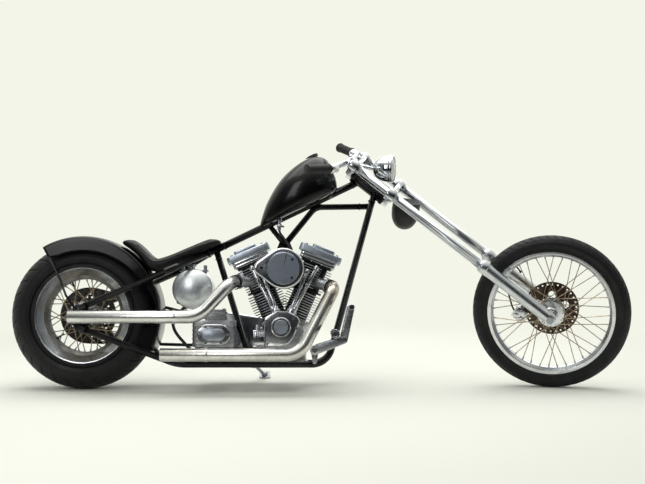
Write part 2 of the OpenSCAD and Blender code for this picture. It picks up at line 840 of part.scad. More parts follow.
module front_caliper() {
    color("silver") front_end() translate([fork_offset, 0, -fork_len]) difference() {
        union() {
            translate([-138, disc_y - 22, 62]) cube([56, 46, 58]);
            translate([-92, disc_y + 14, 70]) cube([74, 12, 40]);
            translate([-40, disc_y + 14, 76]) cube([24, 34, 28]);
        }
        translate([0, disc_y - 5.5, 0]) rotate([-90, 0, 0]) cylinder(h = 11, r = 127);
    }
}

hose_route = [[-60, 84, -866], [-54, 98, -844], [-24, 110, -800], [16, 112, -740], [22, 112, -640], [22, 110, -520],
              [22, 106, -420], [22, 104, -300], [22, 100, -200], [24, 92, -140], [28, 84, -107]];

module brake_hose() {
    color("black") front_end() cord(smooth(hose_route, 4), 4);
}

// ---- Wheels, turned about z

module tyre(r, w, flange_r, rim_w) {
    bead = flange_r - 12;
    crown = r - w / 2;
    rotate_extrude($fn = 96) difference() {
        intersection() {
            translate([crown, 0]) circle(w / 2);
            polygon([[bead, 4 - rim_w / 2], [flange_r + 0.3, 4 - rim_w / 2], [flange_r + 0.3, -rim_w / 2],
                [crown + w / 8, -w / 2 - 1], [r + 1, -w / 2 - 1], [r + 1, w / 2 + 1],
                [crown + w / 8, w / 2 + 1], [flange_r + 0.3, rim_w / 2], [flange_r + 0.3, rim_w / 2 - 4],
                [bead, rim_w / 2 - 4]]);
        }
        translate([crown + 2, 0]) circle(w / 2 - 12);
        translate([bead - 5, 10 - rim_w / 2]) square([crown - bead + 5, rim_w - 20]);
    }
}

module rim(flange_r, w, depth) {
    seat = flange_r - 12;
    well = seat - depth;
    t = 4;
    rotate_extrude($fn = 96) polygon([
        [flange_r, w / 2], [flange_r, w / 2 - t], [seat, w / 2 - t], [seat, w * 0.30], [well, w * 0.18],
        [well, -w * 0.18], [seat, -w * 0.30], [seat, t - w / 2], [flange_r, t - w / 2], [flange_r, -w / 2],
        [seat - t, -w / 2], [seat - t, -w * 0.32], [well - t, -w * 0.20],
        [well - t, w * 0.20], [seat - t, w * 0.32], [seat - t, w / 2]]);
}

function rim_inner(flange_r, depth) = flange_r - 12 - depth - 4;

// Laced spokes: four to a group, from both hub flanges, leaning both ways
module spokes(hub_r, hub_y, rim_r, rim_y, r) {
    count = 40;
    lead_angle = 54;
    for (k = [0 : count - 1]) {
        side = k % 2 == 0 ? 1 : -1;
        outer = floor(k / 2) % 2 == 0 ? 1 : -1;
        hub_a = 360 * k / count - outer * lead_angle;
        rim_a = 360 * k / count;
        rod([hub_r * cos(hub_a), hub_r * sin(hub_a), side * (hub_y + 3.5 * outer)],
            [rim_r * cos(rim_a), rim_r * sin(rim_a), side * (rim_y + 3.5 * outer)], r, $fn = 16);
    }
}

// Hub barrel with two spoke flanges and a bore for the axle
module hub(half, core_r, flange_r, flange_y, bore_r) {
    difference() {
        union() {
            cylinder(h = 2 * half, r = core_r, center = true);
            for (side = [-1, 1]) translate([0, 0, side * flange_y]) cylinder(h = 5, r = flange_r, center = true);
        }
        cylinder(h = 2 * half + 2, r = bore_r, center = true);
    }
}

// Brake disc or sprocket body: windows between spokes, and a ring of drilled holes
module drilled_disc(r, t, inner_r, window_r, windows, holes) {
    difference() {
        cylinder(h = t, r = r, center = true, $fn = 96);
        cylinder(h = t + 2, r = inner_r, center = true);
        for (i = [0 : windows - 1]) rotate([0, 0, 360 * (i + 0.5) / windows])
            translate([(r + inner_r) / 2 - 12, 0, 0]) cylinder(h = t + 2, r = window_r, center = true);
        for (i = [0 : holes - 1]) rotate([0, 0, 360 * i / holes])
            translate([r - 12, 0, 0]) cylinder(h = t + 2, r = 4, center = true, $fn = 16);
    }
}

module front_tyre() {
    color("dimgray") front_wheel() tyre(front_tyre_r, front_tyre_w, front_flange_r, front_rim_w);
}

module front_rim() {
    color("silver") front_wheel() rim(front_flange_r, front_rim_w, front_well);
}

module front_hub() {
    color("silver") front_wheel() hub(80, 27, 58, 38, front_axle_r + run);
}

module front_spokes() {
    color("tan") front_wheel() spokes(52, 38, rim_inner(front_flange_r, front_well) + 2, 5, 1.9);
}

module front_disc() {
    color("saddlebrown") front_wheel() translate([0, 0, disc_y]) drilled_disc(121, 5, 27, 17, 5, 30);
}

module rear_tyre() {
    color("dimgray") rear_wheel() tyre(rear_tyre_r, rear_tyre_w, rear_flange_r, rear_rim_w);
}

module rear_rim() {
    color("silver") rear_wheel() rim(rear_flange_r, rear_rim_w, rear_well);
}

module rear_hub() {
    color("silver") rear_wheel() {
        hub(104, 32, 62, 44, rear_axle_r + run);
    }
}

module rear_spokes() {
    color("tan") rear_wheel() spokes(56, 44, rim_inner(rear_flange_r, rear_well) + 2, 6, 2.1);
}

module rear_sprocket() {
    color("saddlebrown") rear_wheel() {
        difference() {
            translate([0, 0, 84]) cylinder(h = chain_y + 3 - 84, r = 44);
            translate([0, 0, 80]) cylinder(h = 40, r = 32);
        }
        translate([0, 0, chain_y]) drilled_disc(sprocket_r, 6, 43, 12, 6, 36);
    }
}

// ---- Side stand

function foot_end() = upright(stand_foot + [0, -14, foot_t + 4]);
function stand_axis() = unit(cross(unit(foot_end() - stand_pivot), unit([-1, 0.22, 0])));

module side_stand() {
    color("black") {
        parked() difference() {
            union() {
                at_stand() cylinder(h = 16, r = 14, center = true);
                rod(stand_pivot + 10 * unit(foot_end() - stand_pivot), foot_end(), 7.9);
            }
            at_stand() cylinder(h = 40, r = 6 + run, center = true);
        }
        translate([stand_foot.x - plan_x, stand_foot.y - plan_y, 0]) slab(52, 60, foot_t, 14);
        translate([stand_foot.x - plan_x, stand_foot.y - 14 - plan_y, foot_t - 2]) slab(48, 18, 27, 6);
    }
}

neck();
backbone();
upper_stays();
downtubes();
lower_rails();
seat_tube();
top_brace();
axle_plates();
rear_axle();
rear_fender();
fender_struts();
seat();
fuel_tank();
fuel_cap();
fuel_valve();
fuel_hose();
oil_tank();
oil_cap();
oil_hose();
crankcase();
cam_cover();
cylinders();
rocker_boxes();
pushrod_tubes();
air_cleaner();
carburettor();
oil_pump();
transmission();
primary_cover();
drive_chain();
rear_caliper();
rear_exhaust();
front_exhaust();
brake_pedal();
shift_lever();
foot_pegs();
upper_tree();
lower_tree();
fork_tubes();
fork_sliders();
front_axle();
handlebar();
grips();
headlight();
horn();
front_caliper();
brake_hose();
front_tyre();
front_rim();
front_hub();
front_spokes();
front_disc();
rear_tyre();
rear_rim();
rear_hub();
rear_spokes();
rear_sprocket();
side_stand();
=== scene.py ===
import math

import bmesh
import bpy
import numpy as np
from mathutils import Matrix, Vector


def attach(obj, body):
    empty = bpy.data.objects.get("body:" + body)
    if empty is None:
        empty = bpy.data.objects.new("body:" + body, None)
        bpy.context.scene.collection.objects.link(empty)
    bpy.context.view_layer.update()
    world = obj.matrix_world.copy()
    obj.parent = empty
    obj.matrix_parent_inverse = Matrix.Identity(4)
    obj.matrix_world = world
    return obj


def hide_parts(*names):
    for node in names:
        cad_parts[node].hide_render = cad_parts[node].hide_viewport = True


# Chopper motorcycle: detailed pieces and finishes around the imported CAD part.
# Sizes are millimetres in the machine's own axes (+X forward, +Y left, +Z up); pieces end in metres.

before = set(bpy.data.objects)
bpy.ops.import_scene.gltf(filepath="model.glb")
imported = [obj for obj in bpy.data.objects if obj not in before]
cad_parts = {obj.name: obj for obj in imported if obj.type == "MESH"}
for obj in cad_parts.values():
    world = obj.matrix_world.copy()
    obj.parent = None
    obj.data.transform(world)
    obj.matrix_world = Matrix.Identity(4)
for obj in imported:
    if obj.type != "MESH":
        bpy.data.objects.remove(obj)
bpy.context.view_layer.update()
MM = 0.001

# ---- The machine's sizes and its parked place, as in the CAD source

LEAN, LOCK, RAKE = 5.86, 19.73, 51.9
PLAN_Y = 101.92
REAR_R, REAR_W, REAR_FLANGE, REAR_RIM_W, REAR_WELL = 325, 200, 222, 160, 44
FRONT_R, FRONT_W, FRONT_FLANGE, FRONT_RIM_W, FRONT_WELL = 346, 85, 279.5, 66, 10
HEAD = Vector((1265.4, 0, 900.6))
OFFSET, LEG_Y = 60, 120
UPPER_Z, LOWER_Z, TREE_T = 91, -113, 22
CRANK = Vector((887, 0, 211))
BANK = 22.5
DISC_Y, CHAIN_Y = 68, 114
GEARBOX = Vector((600, 0, 240))


def turn(axis, degrees):
    return Matrix.Rotation(math.radians(degrees), 4, axis)


def shift(x=0, y=0, z=0):
    return Matrix.Translation((x, y, z))


def parking():
    """Matrices of the parked frame and of the turned fork, from millimetres to metres."""
    lean, lock, rake = (math.radians(a) for a in (LEAN, LOCK, RAKE))
    lift = REAR_W / 2 * (1 - math.cos(lean))
    axle = (math.sin(lock) * math.cos(rake), math.cos(lock), math.sin(lock) * math.sin(rake))
    offset = [OFFSET * v for v in (math.cos(lock) * math.cos(rake), -math.sin(lock),
                                   math.cos(lock) * math.sin(rake))]
    crown = FRONT_W / 2
    rise = axle[2] * math.cos(lean) - axle[1] * math.sin(lean)
    ride_z = (FRONT_R - crown) * math.sqrt(1 - rise * rise) + crown
    fork_len = (HEAD.z + offset[2] - math.tan(lean) * offset[1] + (lift - ride_z) / math.cos(lean)) / math.cos(rake)
    reach = (FRONT_R - crown) * math.sqrt(1 - axle[0] ** 2) + crown
    plan_x = (HEAD.x + fork_len * math.sin(rake) + offset[0] + reach - REAR_R) / 2
    parked = Matrix.Scale(MM, 4) @ shift(-plan_x, -PLAN_Y, lift) @ turn("X", -LEAN)
    fork = parked @ Matrix.Translation(HEAD) @ turn("Y", -RAKE) @ turn("Z", -LOCK)
    return parked, fork, fork_len, plan_x


PARKED, FORK, FORK_LEN, PLAN_X = parking()
FRONT_WHEEL = FORK @ shift(OFFSET, 0, -FORK_LEN) @ turn("X", -90)
REAR_WHEEL = PARKED @ shift(0, 0, REAR_R) @ turn("X", -90)
# Side views: local x forward, y up, z towards the machine's right
SIDE = turn("X", 90)


def to_head(x, y, z):
    """A point of the straight machine in the steering head's axes."""
    rake = math.radians(RAKE)
    dx, dz = x - HEAD.x, z - HEAD.z
    return Vector((dx * math.cos(rake) + dz * math.sin(rake), y, -dx * math.sin(rake) + dz * math.cos(rake)))


# ---- Node trees and finishes

def node(tree, kind, inputs=None, **settings):
    """Adds a node with its settings, and links or sets its inputs."""
    made = tree.nodes.new(kind)
    for key, value in settings.items():
        setattr(made, key, value)
    for key, value in (inputs or {}).items():
        if isinstance(value, bpy.types.NodeSocket):
            tree.links.new(value, made.inputs[key])
        elif isinstance(value, bpy.types.Node):
            tree.links.new(value.outputs[0], made.inputs[key])
        else:
            made.inputs[key].default_value = value
    return made


def linear(hex_colour):
    """sRGB hex to a linear colour."""
    parts = [int(hex_colour[i:i + 2], 16) / 255 for i in (1, 3, 5)]
    return tuple(c / 12.92 if c <= 0.04045 else ((c + 0.055) / 1.055) ** 2.4 for c in parts) + (1.0,)


def finish(name, light, dark, rough, metallic=0.0, grain=2.0, lay=(1, 1, 1), relief=0.02, patch=90.0,
           uneven=0.08, coat=0.0, place=None, pits=False, turned=0.0, stain=None, ior=1.5):
    """A surface of two near colours in broad patches, with a fine grain of that size in millimetres, drawn out
    along lay, in its roughness and relief. turned is the pitch of a lathe's rings round the place's z axis.
    stain is (colour, point, radius): a tint that fades out round a point."""
    made = bpy.data.materials.new(name)
    made.use_nodes = True
    tree = made.node_tree
    tree.nodes.clear()
    where = node(tree, "ShaderNodeTexCoord").outputs["Object"]
    if place is not None:
        where = node(tree, "ShaderNodeMapping", {
            "Vector": where, "Location": place.to_translation(), "Rotation": place.to_quaternion().to_euler()},
            vector_type="TEXTURE").outputs[0]
    drawn = node(tree, "ShaderNodeMapping", {"Vector": where, "Scale": lay})
    broad = node(tree, "ShaderNodeTexNoise", {"Vector": where, "Scale": 1 / (patch * MM), "Detail": 3.0})
    if pits:
        fine = node(tree, "ShaderNodeTexVoronoi", {"Vector": drawn, "Scale": 1 / (grain * MM)})
    elif turned:
        fine = node(tree, "ShaderNodeTexWave", {"Vector": drawn, "Scale": 0.314 / (turned * MM), "Distortion": 1.5,
                                                "Detail": 2.0, "Detail Scale": 3.0},
                    wave_type="RINGS", rings_direction="Z")
    else:
        fine = node(tree, "ShaderNodeTexNoise", {"Vector": drawn, "Scale": 1 / (grain * MM), "Detail": 4.0})
    height = fine.outputs["Distance" if pits else "Fac"]
    spread = node(tree, "ShaderNodeMapRange", {"Value": broad.outputs["Fac"], "From Min": 0.35, "From Max": 0.65})
    colour = node(tree, "ShaderNodeMix", {"Factor": spread, 6: linear(light), 7: linear(dark)}, data_type="RGBA")
    if stain:
        tint, point, radius = stain
        away = node(tree, "ShaderNodeVectorMath", {
            0: node(tree, "ShaderNodeTexCoord").outputs["Object"], 1: point}, operation="DISTANCE")
        near = node(tree, "ShaderNodeMapRange", {
            "Value": away.outputs["Value"], "From Min": radius * MM, "From Max": 0.25 * radius * MM})
        colour = node(tree, "ShaderNodeMix", {"Factor": near, 6: colour.outputs[2], 7: linear(tint)},
                      data_type="RGBA")
    both = node(tree, "ShaderNodeMath", {0: height, 1: broad.outputs["Fac"]}, operation="ADD")
    roughness = node(tree, "ShaderNodeMapRange", {
        "Value": both, "From Min": 0.7, "From Max": 1.3,
        "To Min": max(rough - uneven, 0.01), "To Max": rough + uneven})
    bump = node(tree, "ShaderNodeBump", {"Height": height, "Distance": relief * MM, "Strength": 1.0})
    shader = node(tree, "ShaderNodeBsdfPrincipled", {
        "Base Color": colour.outputs[2], "Metallic": metallic, "Roughness": roughness, "Normal": bump,
        "Coat Weight": coat, "Coat Roughness": 0.06, "IOR": ior})
    node(tree, "ShaderNodeOutputMaterial", {"Surface": shader})
    return made


# ---- Solids gathered point by point, and what makes a piece of them

def unit(v):
    return Vector(v).normalized()


class Solid:
    """Points and faces, in millimetres, of one piece while it is put together."""

    def __init__(self):
        self.points, self.faces = [], []

    def add(self, points, faces, place=None):
        base = len(self.points)
        self.points += [place @ Vector(p) if place else Vector(p) for p in points]
        self.faces += [tuple(base + i for i in f) for f in faces]
        return self

    def grid(self, rings, round_rings=True, closed=False, caps=True, place=None):
        """Rings of equal length joined one to the next; closed joins the last to the first."""
        n, m = len(rings), len(rings[0])
        faces = [(i * m + k, i * m + (k + 1) % m, (i + 1) % n * m + (k + 1) % m, (i + 1) % n * m + k)
                 for i in range(n if closed else n - 1) for k in range(m if round_rings else m - 1)]
        if caps and not closed:
            faces += [tuple(range(m)), tuple((n - 1) * m + k for k in range(m))]
        return self.add([p for ring in rings for p in ring], faces, place)

    def spin(self, outline, place=None, steps=64, closed=False):
        """Outline of (radius, height) turned about z. An open outline starts and ends on the axis or is capped."""
        turns = [(math.cos(2 * math.pi * k / steps), math.sin(2 * math.pi * k / steps)) for k in range(steps)]
        rings = [[(max(r, 0.001) * c, max(r, 0.001) * s, z) for c, s in turns] for r, z in outline]
        return self.grid(rings, closed=closed, place=place)

    def rod(self, p, q, r, r2=None, steps=32, place=None):
        along = Vector(q) - Vector(p)
        aim = Matrix.Translation(Vector(p)) @ along.to_track_quat("Z", "Y").to_matrix().to_4x4()
        return self.spin([(r, 0), (r if r2 is None else r2, along.length)],
                         place @ aim if place else aim, steps)

    def plate(self, outline, z0, z1, place=None):
        return self.grid([[(x, y, z) for x, y in outline] for z in (z0, z1)], place=place)

    def block(self, low, high, place=None):
        (x0, y0, z0), (x1, y1, z1) = low, high
        return self.plate([(x0, y0), (x1, y0), (x1, y1), (x0, y1)], z0, z1, place)

    def tube(self, path, radius, sides=20, place=None):
        """Round bar along a path of points; radius may be a list, one for each point."""
        path = [Vector(p) for p in path]
        radii = radius if isinstance(radius, (list, tuple)) else [radius] * len(path)
        rings, side = [], None
        for i, p in enumerate(path):
            along = unit(path[min(i + 1, len(path) - 1)] - path[max(i - 1, 0)])
            side = along.orthogonal() if side is None else side - along * side.dot(along)
            side.normalize()
            other = along.cross(side)
            rings.append([p + radii[i] * (math.cos(2 * math.pi * k / sides) * side
                                          + math.sin(2 * math.pi * k / sides) * other) for k in range(sides)])
        return self.grid(rings, place=place)

    def piece(self, name, place, body, material, slot, stands_for=(), bevel=0.0, rounds=2, subdivide=0,
              wall=0.0, cutter=None, sharp=35):
        """Makes the piece: edges rounded by bevel, smooth surfaces, its place in its mesh."""
        mesh = bpy.data.meshes.new(name)
        mesh.from_pydata([place @ p for p in self.points], [], self.faces)
        return furnish(new_object(name, mesh), body, material, stands_for, bevel, rounds, subdivide, wall,
                       cutter, sharp)

    def mesh_only(self, name, place=None):
        """The solid as a hidden template object: at its own origin, or placed for cutting."""
        mesh = bpy.data.meshes.new(name)
        mesh.from_pydata([place @ p if place else p * MM for p in self.points], [], self.faces)
        work = bmesh.new()
        work.from_mesh(mesh)
        bmesh.ops.remove_doubles(work, verts=work.verts, dist=0.003 * MM)
        bmesh.ops.recalc_face_normals(work, faces=work.faces)
        work.to_mesh(mesh)
        work.free()
        return new_object(name, mesh)


def new_object(name, mesh):
    made = bpy.data.objects.new(name, mesh)
    bpy.context.scene.collection.objects.link(made)
    return made


def settle(obj):
    """Turns the modified object into a plain mesh."""
    graph = bpy.context.evaluated_depsgraph_get()
    mesh = bpy.data.meshes.new_from_object(obj.evaluated_get(graph))
    obj.modifiers.clear()
    obj.data = mesh


def furnish(obj, body, material, stands_for=(), bevel=0.0, rounds=2, subdivide=0, wall=0.0, cutter=None,
            sharp=35, merge=0.002):
    work = bmesh.new()
    work.from_mesh(obj.data)
    bmesh.ops.remove_doubles(work, verts=work.verts, dist=merge * MM)
    bmesh.ops.dissolve_degenerate(work, edges=work.edges, dist=merge * MM)
    bmesh.ops.recalc_face_normals(work, faces=work.faces)
    work.to_mesh(obj.data)
    work.free()
    if wall:
        made = obj.modifiers.new("wall", "SOLIDIFY")
        made.thickness, made.offset, made.use_even_offset = wall * MM, -1, True
    if subdivide:
        made = obj.modifiers.new("smooth", "SUBSURF")
        made.levels = made.render_levels = subdivide
    if cutter:
        made = obj.modifiers.new("cut", "BOOLEAN")
        made.operation, made.object, made.solver = "DIFFERENCE", cutter, "EXACT"
    if bevel:
        made = obj.modifiers.new("edges", "BEVEL")
        made.width, made.segments, made.limit_method = bevel * MM, rounds, "ANGLE"
        made.angle_limit = math.radians(32)
    if obj.modifiers:
        settle(obj)
    if cutter:
        bpy.data.objects.remove(cutter)
    obj.data.shade_smooth()
    obj.data.set_sharp_from_angle(angle=math.radians(sharp))
    obj.data.materials.clear()
    obj.data.materials.append(material)
    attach(obj, body)
    if stands_for:
        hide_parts(*([stands_for] if isinstance(stands_for, str) else stands_for))
    return obj


def fine_copy(node_name, body, material, bevel=0.0):
    """The CAD node's own shape, its loose triangles joined and its round faces smooth."""
    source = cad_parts[node_name]
    mesh = source.data.copy()
    mesh.materials.clear()
    work = bmesh.new()
    work.from_mesh(mesh)
    bmesh.ops.remove_doubles(work, verts=work.verts, dist=0.01 * MM)
    if bevel:
        bmesh.ops.dissolve_limit(work, angle_limit=math.radians(0.5), verts=work.verts, edges=work.edges)
    work.to_mesh(mesh)
    work.free()
    return furnish(new_object(node_name + "_finished", mesh), body, material, node_name, bevel)


def fillet_path(points, bends, step=6.0):
    """Points of a bent bar: straights joined by arcs of the given bend radii."""
    points = [Vector(p) for p in points]
    path = [points[0]]
    for i in range(1, len(points) - 1):
        a, b = unit(points[i] - points[i - 1]), unit(points[i + 1] - points[i])
        angle = a.angle(b)
        inset = bends[i] * math.tan(angle / 2)
        side = unit(b - a * a.dot(b))
        centre = points[i] - inset * a + bends[i] * side
        count = max(3, int(math.degrees(angle) / step))
        for k in range(count + 1):
            t = angle * k / count
            path.append(centre + bends[i] * (math.sin(t) * a - math.cos(t) * side))
    return path + [points[-1]]


def link_outline(p, rp, q, rq, steps=12):
    """Outline round two circles and their outer tangents, anticlockwise."""
    dx, dy = q[0] - p[0], q[1] - p[1]
    heading, lead = math.atan2(dy, dx), math.acos((rp - rq) / math.hypot(dx, dy))
    outline = []
    for (cx, cy), r, start, end in ((q, rq, heading - lead, heading + lead),
                                    (p, rp, heading + lead, heading + 2 * math.pi - lead)):
        outline += [(cx + r * math.cos(start + (end - start) * k / steps),
                     cy + r * math.sin(start + (end - start) * k / steps)) for k in range(steps + 1)]
    return outline


def round_rect(w, d, r, steps=5, x=0.0, y=0.0):
    """Rectangle with round corners, centred on (x, y)."""
    return [(x + sx * (w / 2 - r) + r * math.cos(math.radians(a + 90 * k / steps)),
             y + sy * (d / 2 - r) + r * math.sin(math.radians(a + 90 * k / steps)))
            for sx, sy, a in ((1, 1, 0), (-1, 1, 90), (-1, -1, 180), (1, -1, 270)) for k in range(steps + 1)]


def smooth_route(route, steps):
    """Catmull-Rom points through a route."""
    route = [Vector(p) for p in route]
    last, out = len(route) - 1, []
    for i in range(last):
        a, b, c, d = route[max(i - 1, 0)], route[i], route[i + 1], route[min(i + 2, last)]
        for s in range(steps):
            t = s / steps
            out.append(0.5 * (2 * b + (c - a) * t + (2 * a - 5 * b + 4 * c - d) * t * t
                              + (3 * b - a - 3 * c + d) * t ** 3))
    return out + [route[-1]]


# ---- Geometry Nodes: shapes set at many spots, and bars swept along many lines

def tree_with(name, sockets):
    tree = bpy.data.node_groups.new(name, "GeometryNodeTree")
    for label, kind in sockets:
        tree.interface.new_socket(name=label, in_out="INPUT", socket_type=kind)
    tree.interface.new_socket(name="Geometry", in_out="OUTPUT", socket_type="NodeSocketGeometry")
    return tree, node(tree, "NodeGroupInput").outputs


def copies_tree():
    """Sets a shape at every point, its z along the aim attribute and its x along the lay attribute."""
    tree, given = tree_with("shapes at spots", [
        ("Spots", "NodeSocketGeometry"), ("Shape", "NodeSocketObject"), ("Finish", "NodeSocketMaterial")])
    named = {label: node(tree, "GeometryNodeInputNamedAttribute", {"Name": label}, data_type="FLOAT_VECTOR")
             for label in ("aim", "lay", "size")}
    aimed = node(tree, "FunctionNodeAlignRotationToVector", {"Vector": named["aim"]}, axis="Z")
    laid = node(tree, "FunctionNodeAlignRotationToVector", {"Rotation": aimed, "Vector": named["lay"]},
                axis="X", pivot_axis="Z")
    shape = node(tree, "GeometryNodeObjectInfo", {"Object": given["Shape"]})
    spots = node(tree, "GeometryNodeInstanceOnPoints", {
        "Points": given["Spots"], "Instance": shape.outputs["Geometry"], "Rotation": laid, "Scale": named["size"]})
    real = node(tree, "GeometryNodeRealizeInstances", {"Geometry": spots})
    done = node(tree, "GeometryNodeSetMaterial", {"Geometry": real, "Material": given["Finish"]})
    node(tree, "NodeGroupOutput", {"Geometry": done})
    return tree


def sweep_tree():
    """Sweeps a round bar along every line."""
    tree, given = tree_with("bars along lines", [
        ("Lines", "NodeSocketGeometry"), ("Radius", "NodeSocketFloat"), ("Sides", "NodeSocketInt"),
        ("Finish", "NodeSocketMaterial")])
    curves = node(tree, "GeometryNodeMeshToCurve", {"Mesh": given["Lines"]})
    ring = node(tree, "GeometryNodeCurvePrimitiveCircle", {"Resolution": given["Sides"], "Radius": given["Radius"]})
    bars = node(tree, "GeometryNodeCurveToMesh", {
        "Curve": curves, "Profile Curve": ring.outputs["Curve"], "Fill Caps": True})
    real = node(tree, "GeometryNodeRealizeInstances", {"Geometry": bars})
    done = node(tree, "GeometryNodeSetMaterial", {"Geometry": real, "Material": given["Finish"]})
    node(tree, "NodeGroupOutput", {"Geometry": done})
    return tree


COPIES, SWEEPS = copies_tree(), sweep_tree()


def run_tree(obj, tree, values):
    made = obj.modifiers.new("tree", "NODES")
    made.node_group = tree
    for item in tree.interface.items_tree:
        if item.in_out == "INPUT" and item.name in values:
            made[item.identifier] = values[item.name]
    settle(obj)


def set_at(name, shape, spots, place, body, material, stands_for=(), sharp=35):
    """A piece of copies of shape, one at each spot (point, aim, size, lay); size scales the shape's millimetres."""
    template = shape.mesh_only(name + "_shape")
    mesh = bpy.data.meshes.new(name)
    mesh.from_pydata([place @ Vector(s[0]) for s in spots], [], [])
    turned = place.to_3x3() * (1 / MM)
    sizes = [s[2] if isinstance(s[2], tuple) else (s[2],) * 3 for s in spots]
    lays = [s[3] if len(s) > 3 else Vector(s[1]).orthogonal() for s in spots]
    for label, rows in (("aim", [turned @ Vector(s[1]) for s in spots]),
                        ("lay", [turned @ Vector(v) for v in lays]), ("size", sizes)):
        attribute = mesh.attributes.new(label, "FLOAT_VECTOR", "POINT")
        attribute.data.foreach_set("vector", np.array([tuple(r) for r in rows], np.float32).ravel())
    obj = new_object(name, mesh)
    run_tree(obj, COPIES, {"Shape": template, "Finish": material})
    for attribute in [a.name for a in obj.data.attributes if a.name in ("aim", "lay", "size")]:
        obj.data.attributes.remove(obj.data.attributes[attribute])
    bpy.data.objects.remove(template)
    return furnish(obj, body, material, stands_for, sharp=sharp)


def sweep_lines(name, lines, radius, place, body, material, stands_for=(), sides=10):
    """A piece of round bars, one along each line of points."""
    points, edges = [], []
    for line in lines:
        edges += [(len(points) + i, len(points) + i + 1) for i in range(len(line) - 1)]
        points += [place @ Vector(p) for p in line]
    mesh = bpy.data.meshes.new(name)
    mesh.from_pydata(points, edges, [])
    obj = new_object(name, mesh)
    run_tree(obj, SWEEPS, {"Radius": radius * MM, "Sides": sides, "Finish": material})
    return furnish(obj, body, material, stands_for)


# ---- Finishes, each named for the real material, the rim well's also for its painted shade

# Sprayed gloss enamel over steel: near black, wet-looking, very slightly uneven
PAINT = finish("gloss_black_enamel", "#080809", "#050506", 0.22, grain=4, relief=0.003, uneven=0.03, coat=0.15,
               ior=1.34)
# The same enamel on the frame tubes, with a little dust in it
FRAME_PAINT = finish("frame_black_enamel", "#0c0c0e", "#080809", 0.26, grain=3, relief=0.005, uneven=0.06, coat=0.2,
                     ior=1.36)
# Upholstery leather: fine pebbled grain, soft broad sheen
LEATHER = finish("black_upholstery_leather", "#131211", "#0b0a0a", 0.50, grain=2.2, relief=0.16, patch=60,
                 uneven=0.09, pits=True, ior=1.38)
# Buffed aluminium: bright, with broad faint waves left by the wheel
POLISHED = finish("polished_aluminium", "#e3e4e6", "#cdd0d4", 0.17, 1.0, grain=1.2, relief=0.006, patch=45)
# Belt-finished aluminium: fine lines along the part, soft broad reflections
SATIN = finish("satin_aluminium", "#d3d6d9", "#c0c4c9", 0.30, 1.0, grain=0.9, lay=(0.12, 1, 0.12), relief=0.01)
# Spun aluminium tank: soft round reflections
SPUN = finish("spun_aluminium", "#e8ebed", "#d8dde0", 0.38, 1.0, grain=1.4, relief=0.012, patch=70,
              place=PARKED @ shift(483, 0, 441) @ turn("X", -90), turned=1.6)
# The air cleaner's disc: coarser brushing, a shade darker
BRUSHED_DISC = finish("brushed_disc_aluminium", "#aab2be", "#8f98a6", 0.38, 1.0, grain=0.9, lay=(0.05, 1, 1),
                      relief=0.02, patch=50)
# Fork sliders: cast and then polished
SLIDER_FINISH = finish("polished_cast_aluminium", "#d9dcdf", "#c6cacf", 0.24, 1.0, grain=1.0, relief=0.01, patch=60)
# Inner faces of the rim wells: aluminium darkened to a dull grey, painted shade for the deep recess
RIM_WELL_SHADE = finish("rim_well_shaded_aluminium", "#8b8883", "#6a6763", 0.42, 1.0, grain=1.2, relief=0.02, patch=40)
# Sand-cast aluminium: dull and fine-grained, in two near tones in broad patches
CAST = finish("sand_cast_aluminium", "#c9cbce", "#a8abaf", 0.44, 1.0, grain=1.6, relief=0.09, patch=30)
# Rocker covers: brushed along their length, a cool blue-grey
BRUSHED = finish("brushed_aluminium", "#ccd4de", "#b3bcc8", 0.36, 1.0, grain=0.7, lay=(0.05, 1, 1), relief=0.02,
                 patch=40)
# Brushed stainless pipes
STAINLESS = finish("brushed_stainless_steel", "#e2e2e0", "#cfcfcc", 0.27, 1.0, grain=0.8, lay=(0.05, 1, 1),
                   relief=0.008, patch=70)
# The same steel, faintly warmed at the front port
FRONT_PIPE = finish("heat_tinted_stainless_steel", "#e0dfdb", "#cbc9c4", 0.27, 1.0, grain=0.8,
                    lay=(0.05, 1, 1), relief=0.008, patch=70,
                    stain=("#c4bbae", PARKED @ Vector((1090, -130, 440)), 170))
# Plated chrome: mirror bright
CHROME = finish("chrome_plate", "#d3d6da", "#c4c8cd", 0.06, 1.0, grain=5, relief=0.002, uneven=0.02)
# Zinc-plated fasteners
ZINC = finish("zinc_plated_steel", "#b9bbbe", "#9c9ea3", 0.30, 1.0, grain=0.8, relief=0.02)
# Stainless spokes gone to a warm grey
SPOKE = finish("stainless_spoke_wire", "#b3a58e", "#8a7b66", 0.32, 1.0, grain=2.0, relief=0.01, patch=20)
# Dark oiled steel for chain and clamps
DARK = finish("oiled_dark_steel", "#3d3e41", "#2a2b2d", 0.42, 1.0, grain=1.2, relief=0.03, patch=25)
# Moulded tyre rubber: matt with a faint bloom
TYRE = finish("tyre_rubber", "#151517", "#0d0d0f", 0.52, grain=1.2, relief=0.05, patch=60, uneven=0.10,
              ior=1.36)
# Moulded rubber of grips and hoses
RUBBER = finish("moulded_black_rubber", "#131314", "#0b0b0c", 0.55, grain=1.0, relief=0.03)
# Black stove enamel of the horn and fittings, semi-matt
BLACK_FITTING = finish("semi_matt_black_enamel", "#111113", "#0a0a0b", 0.45, grain=1.5, relief=0.02)


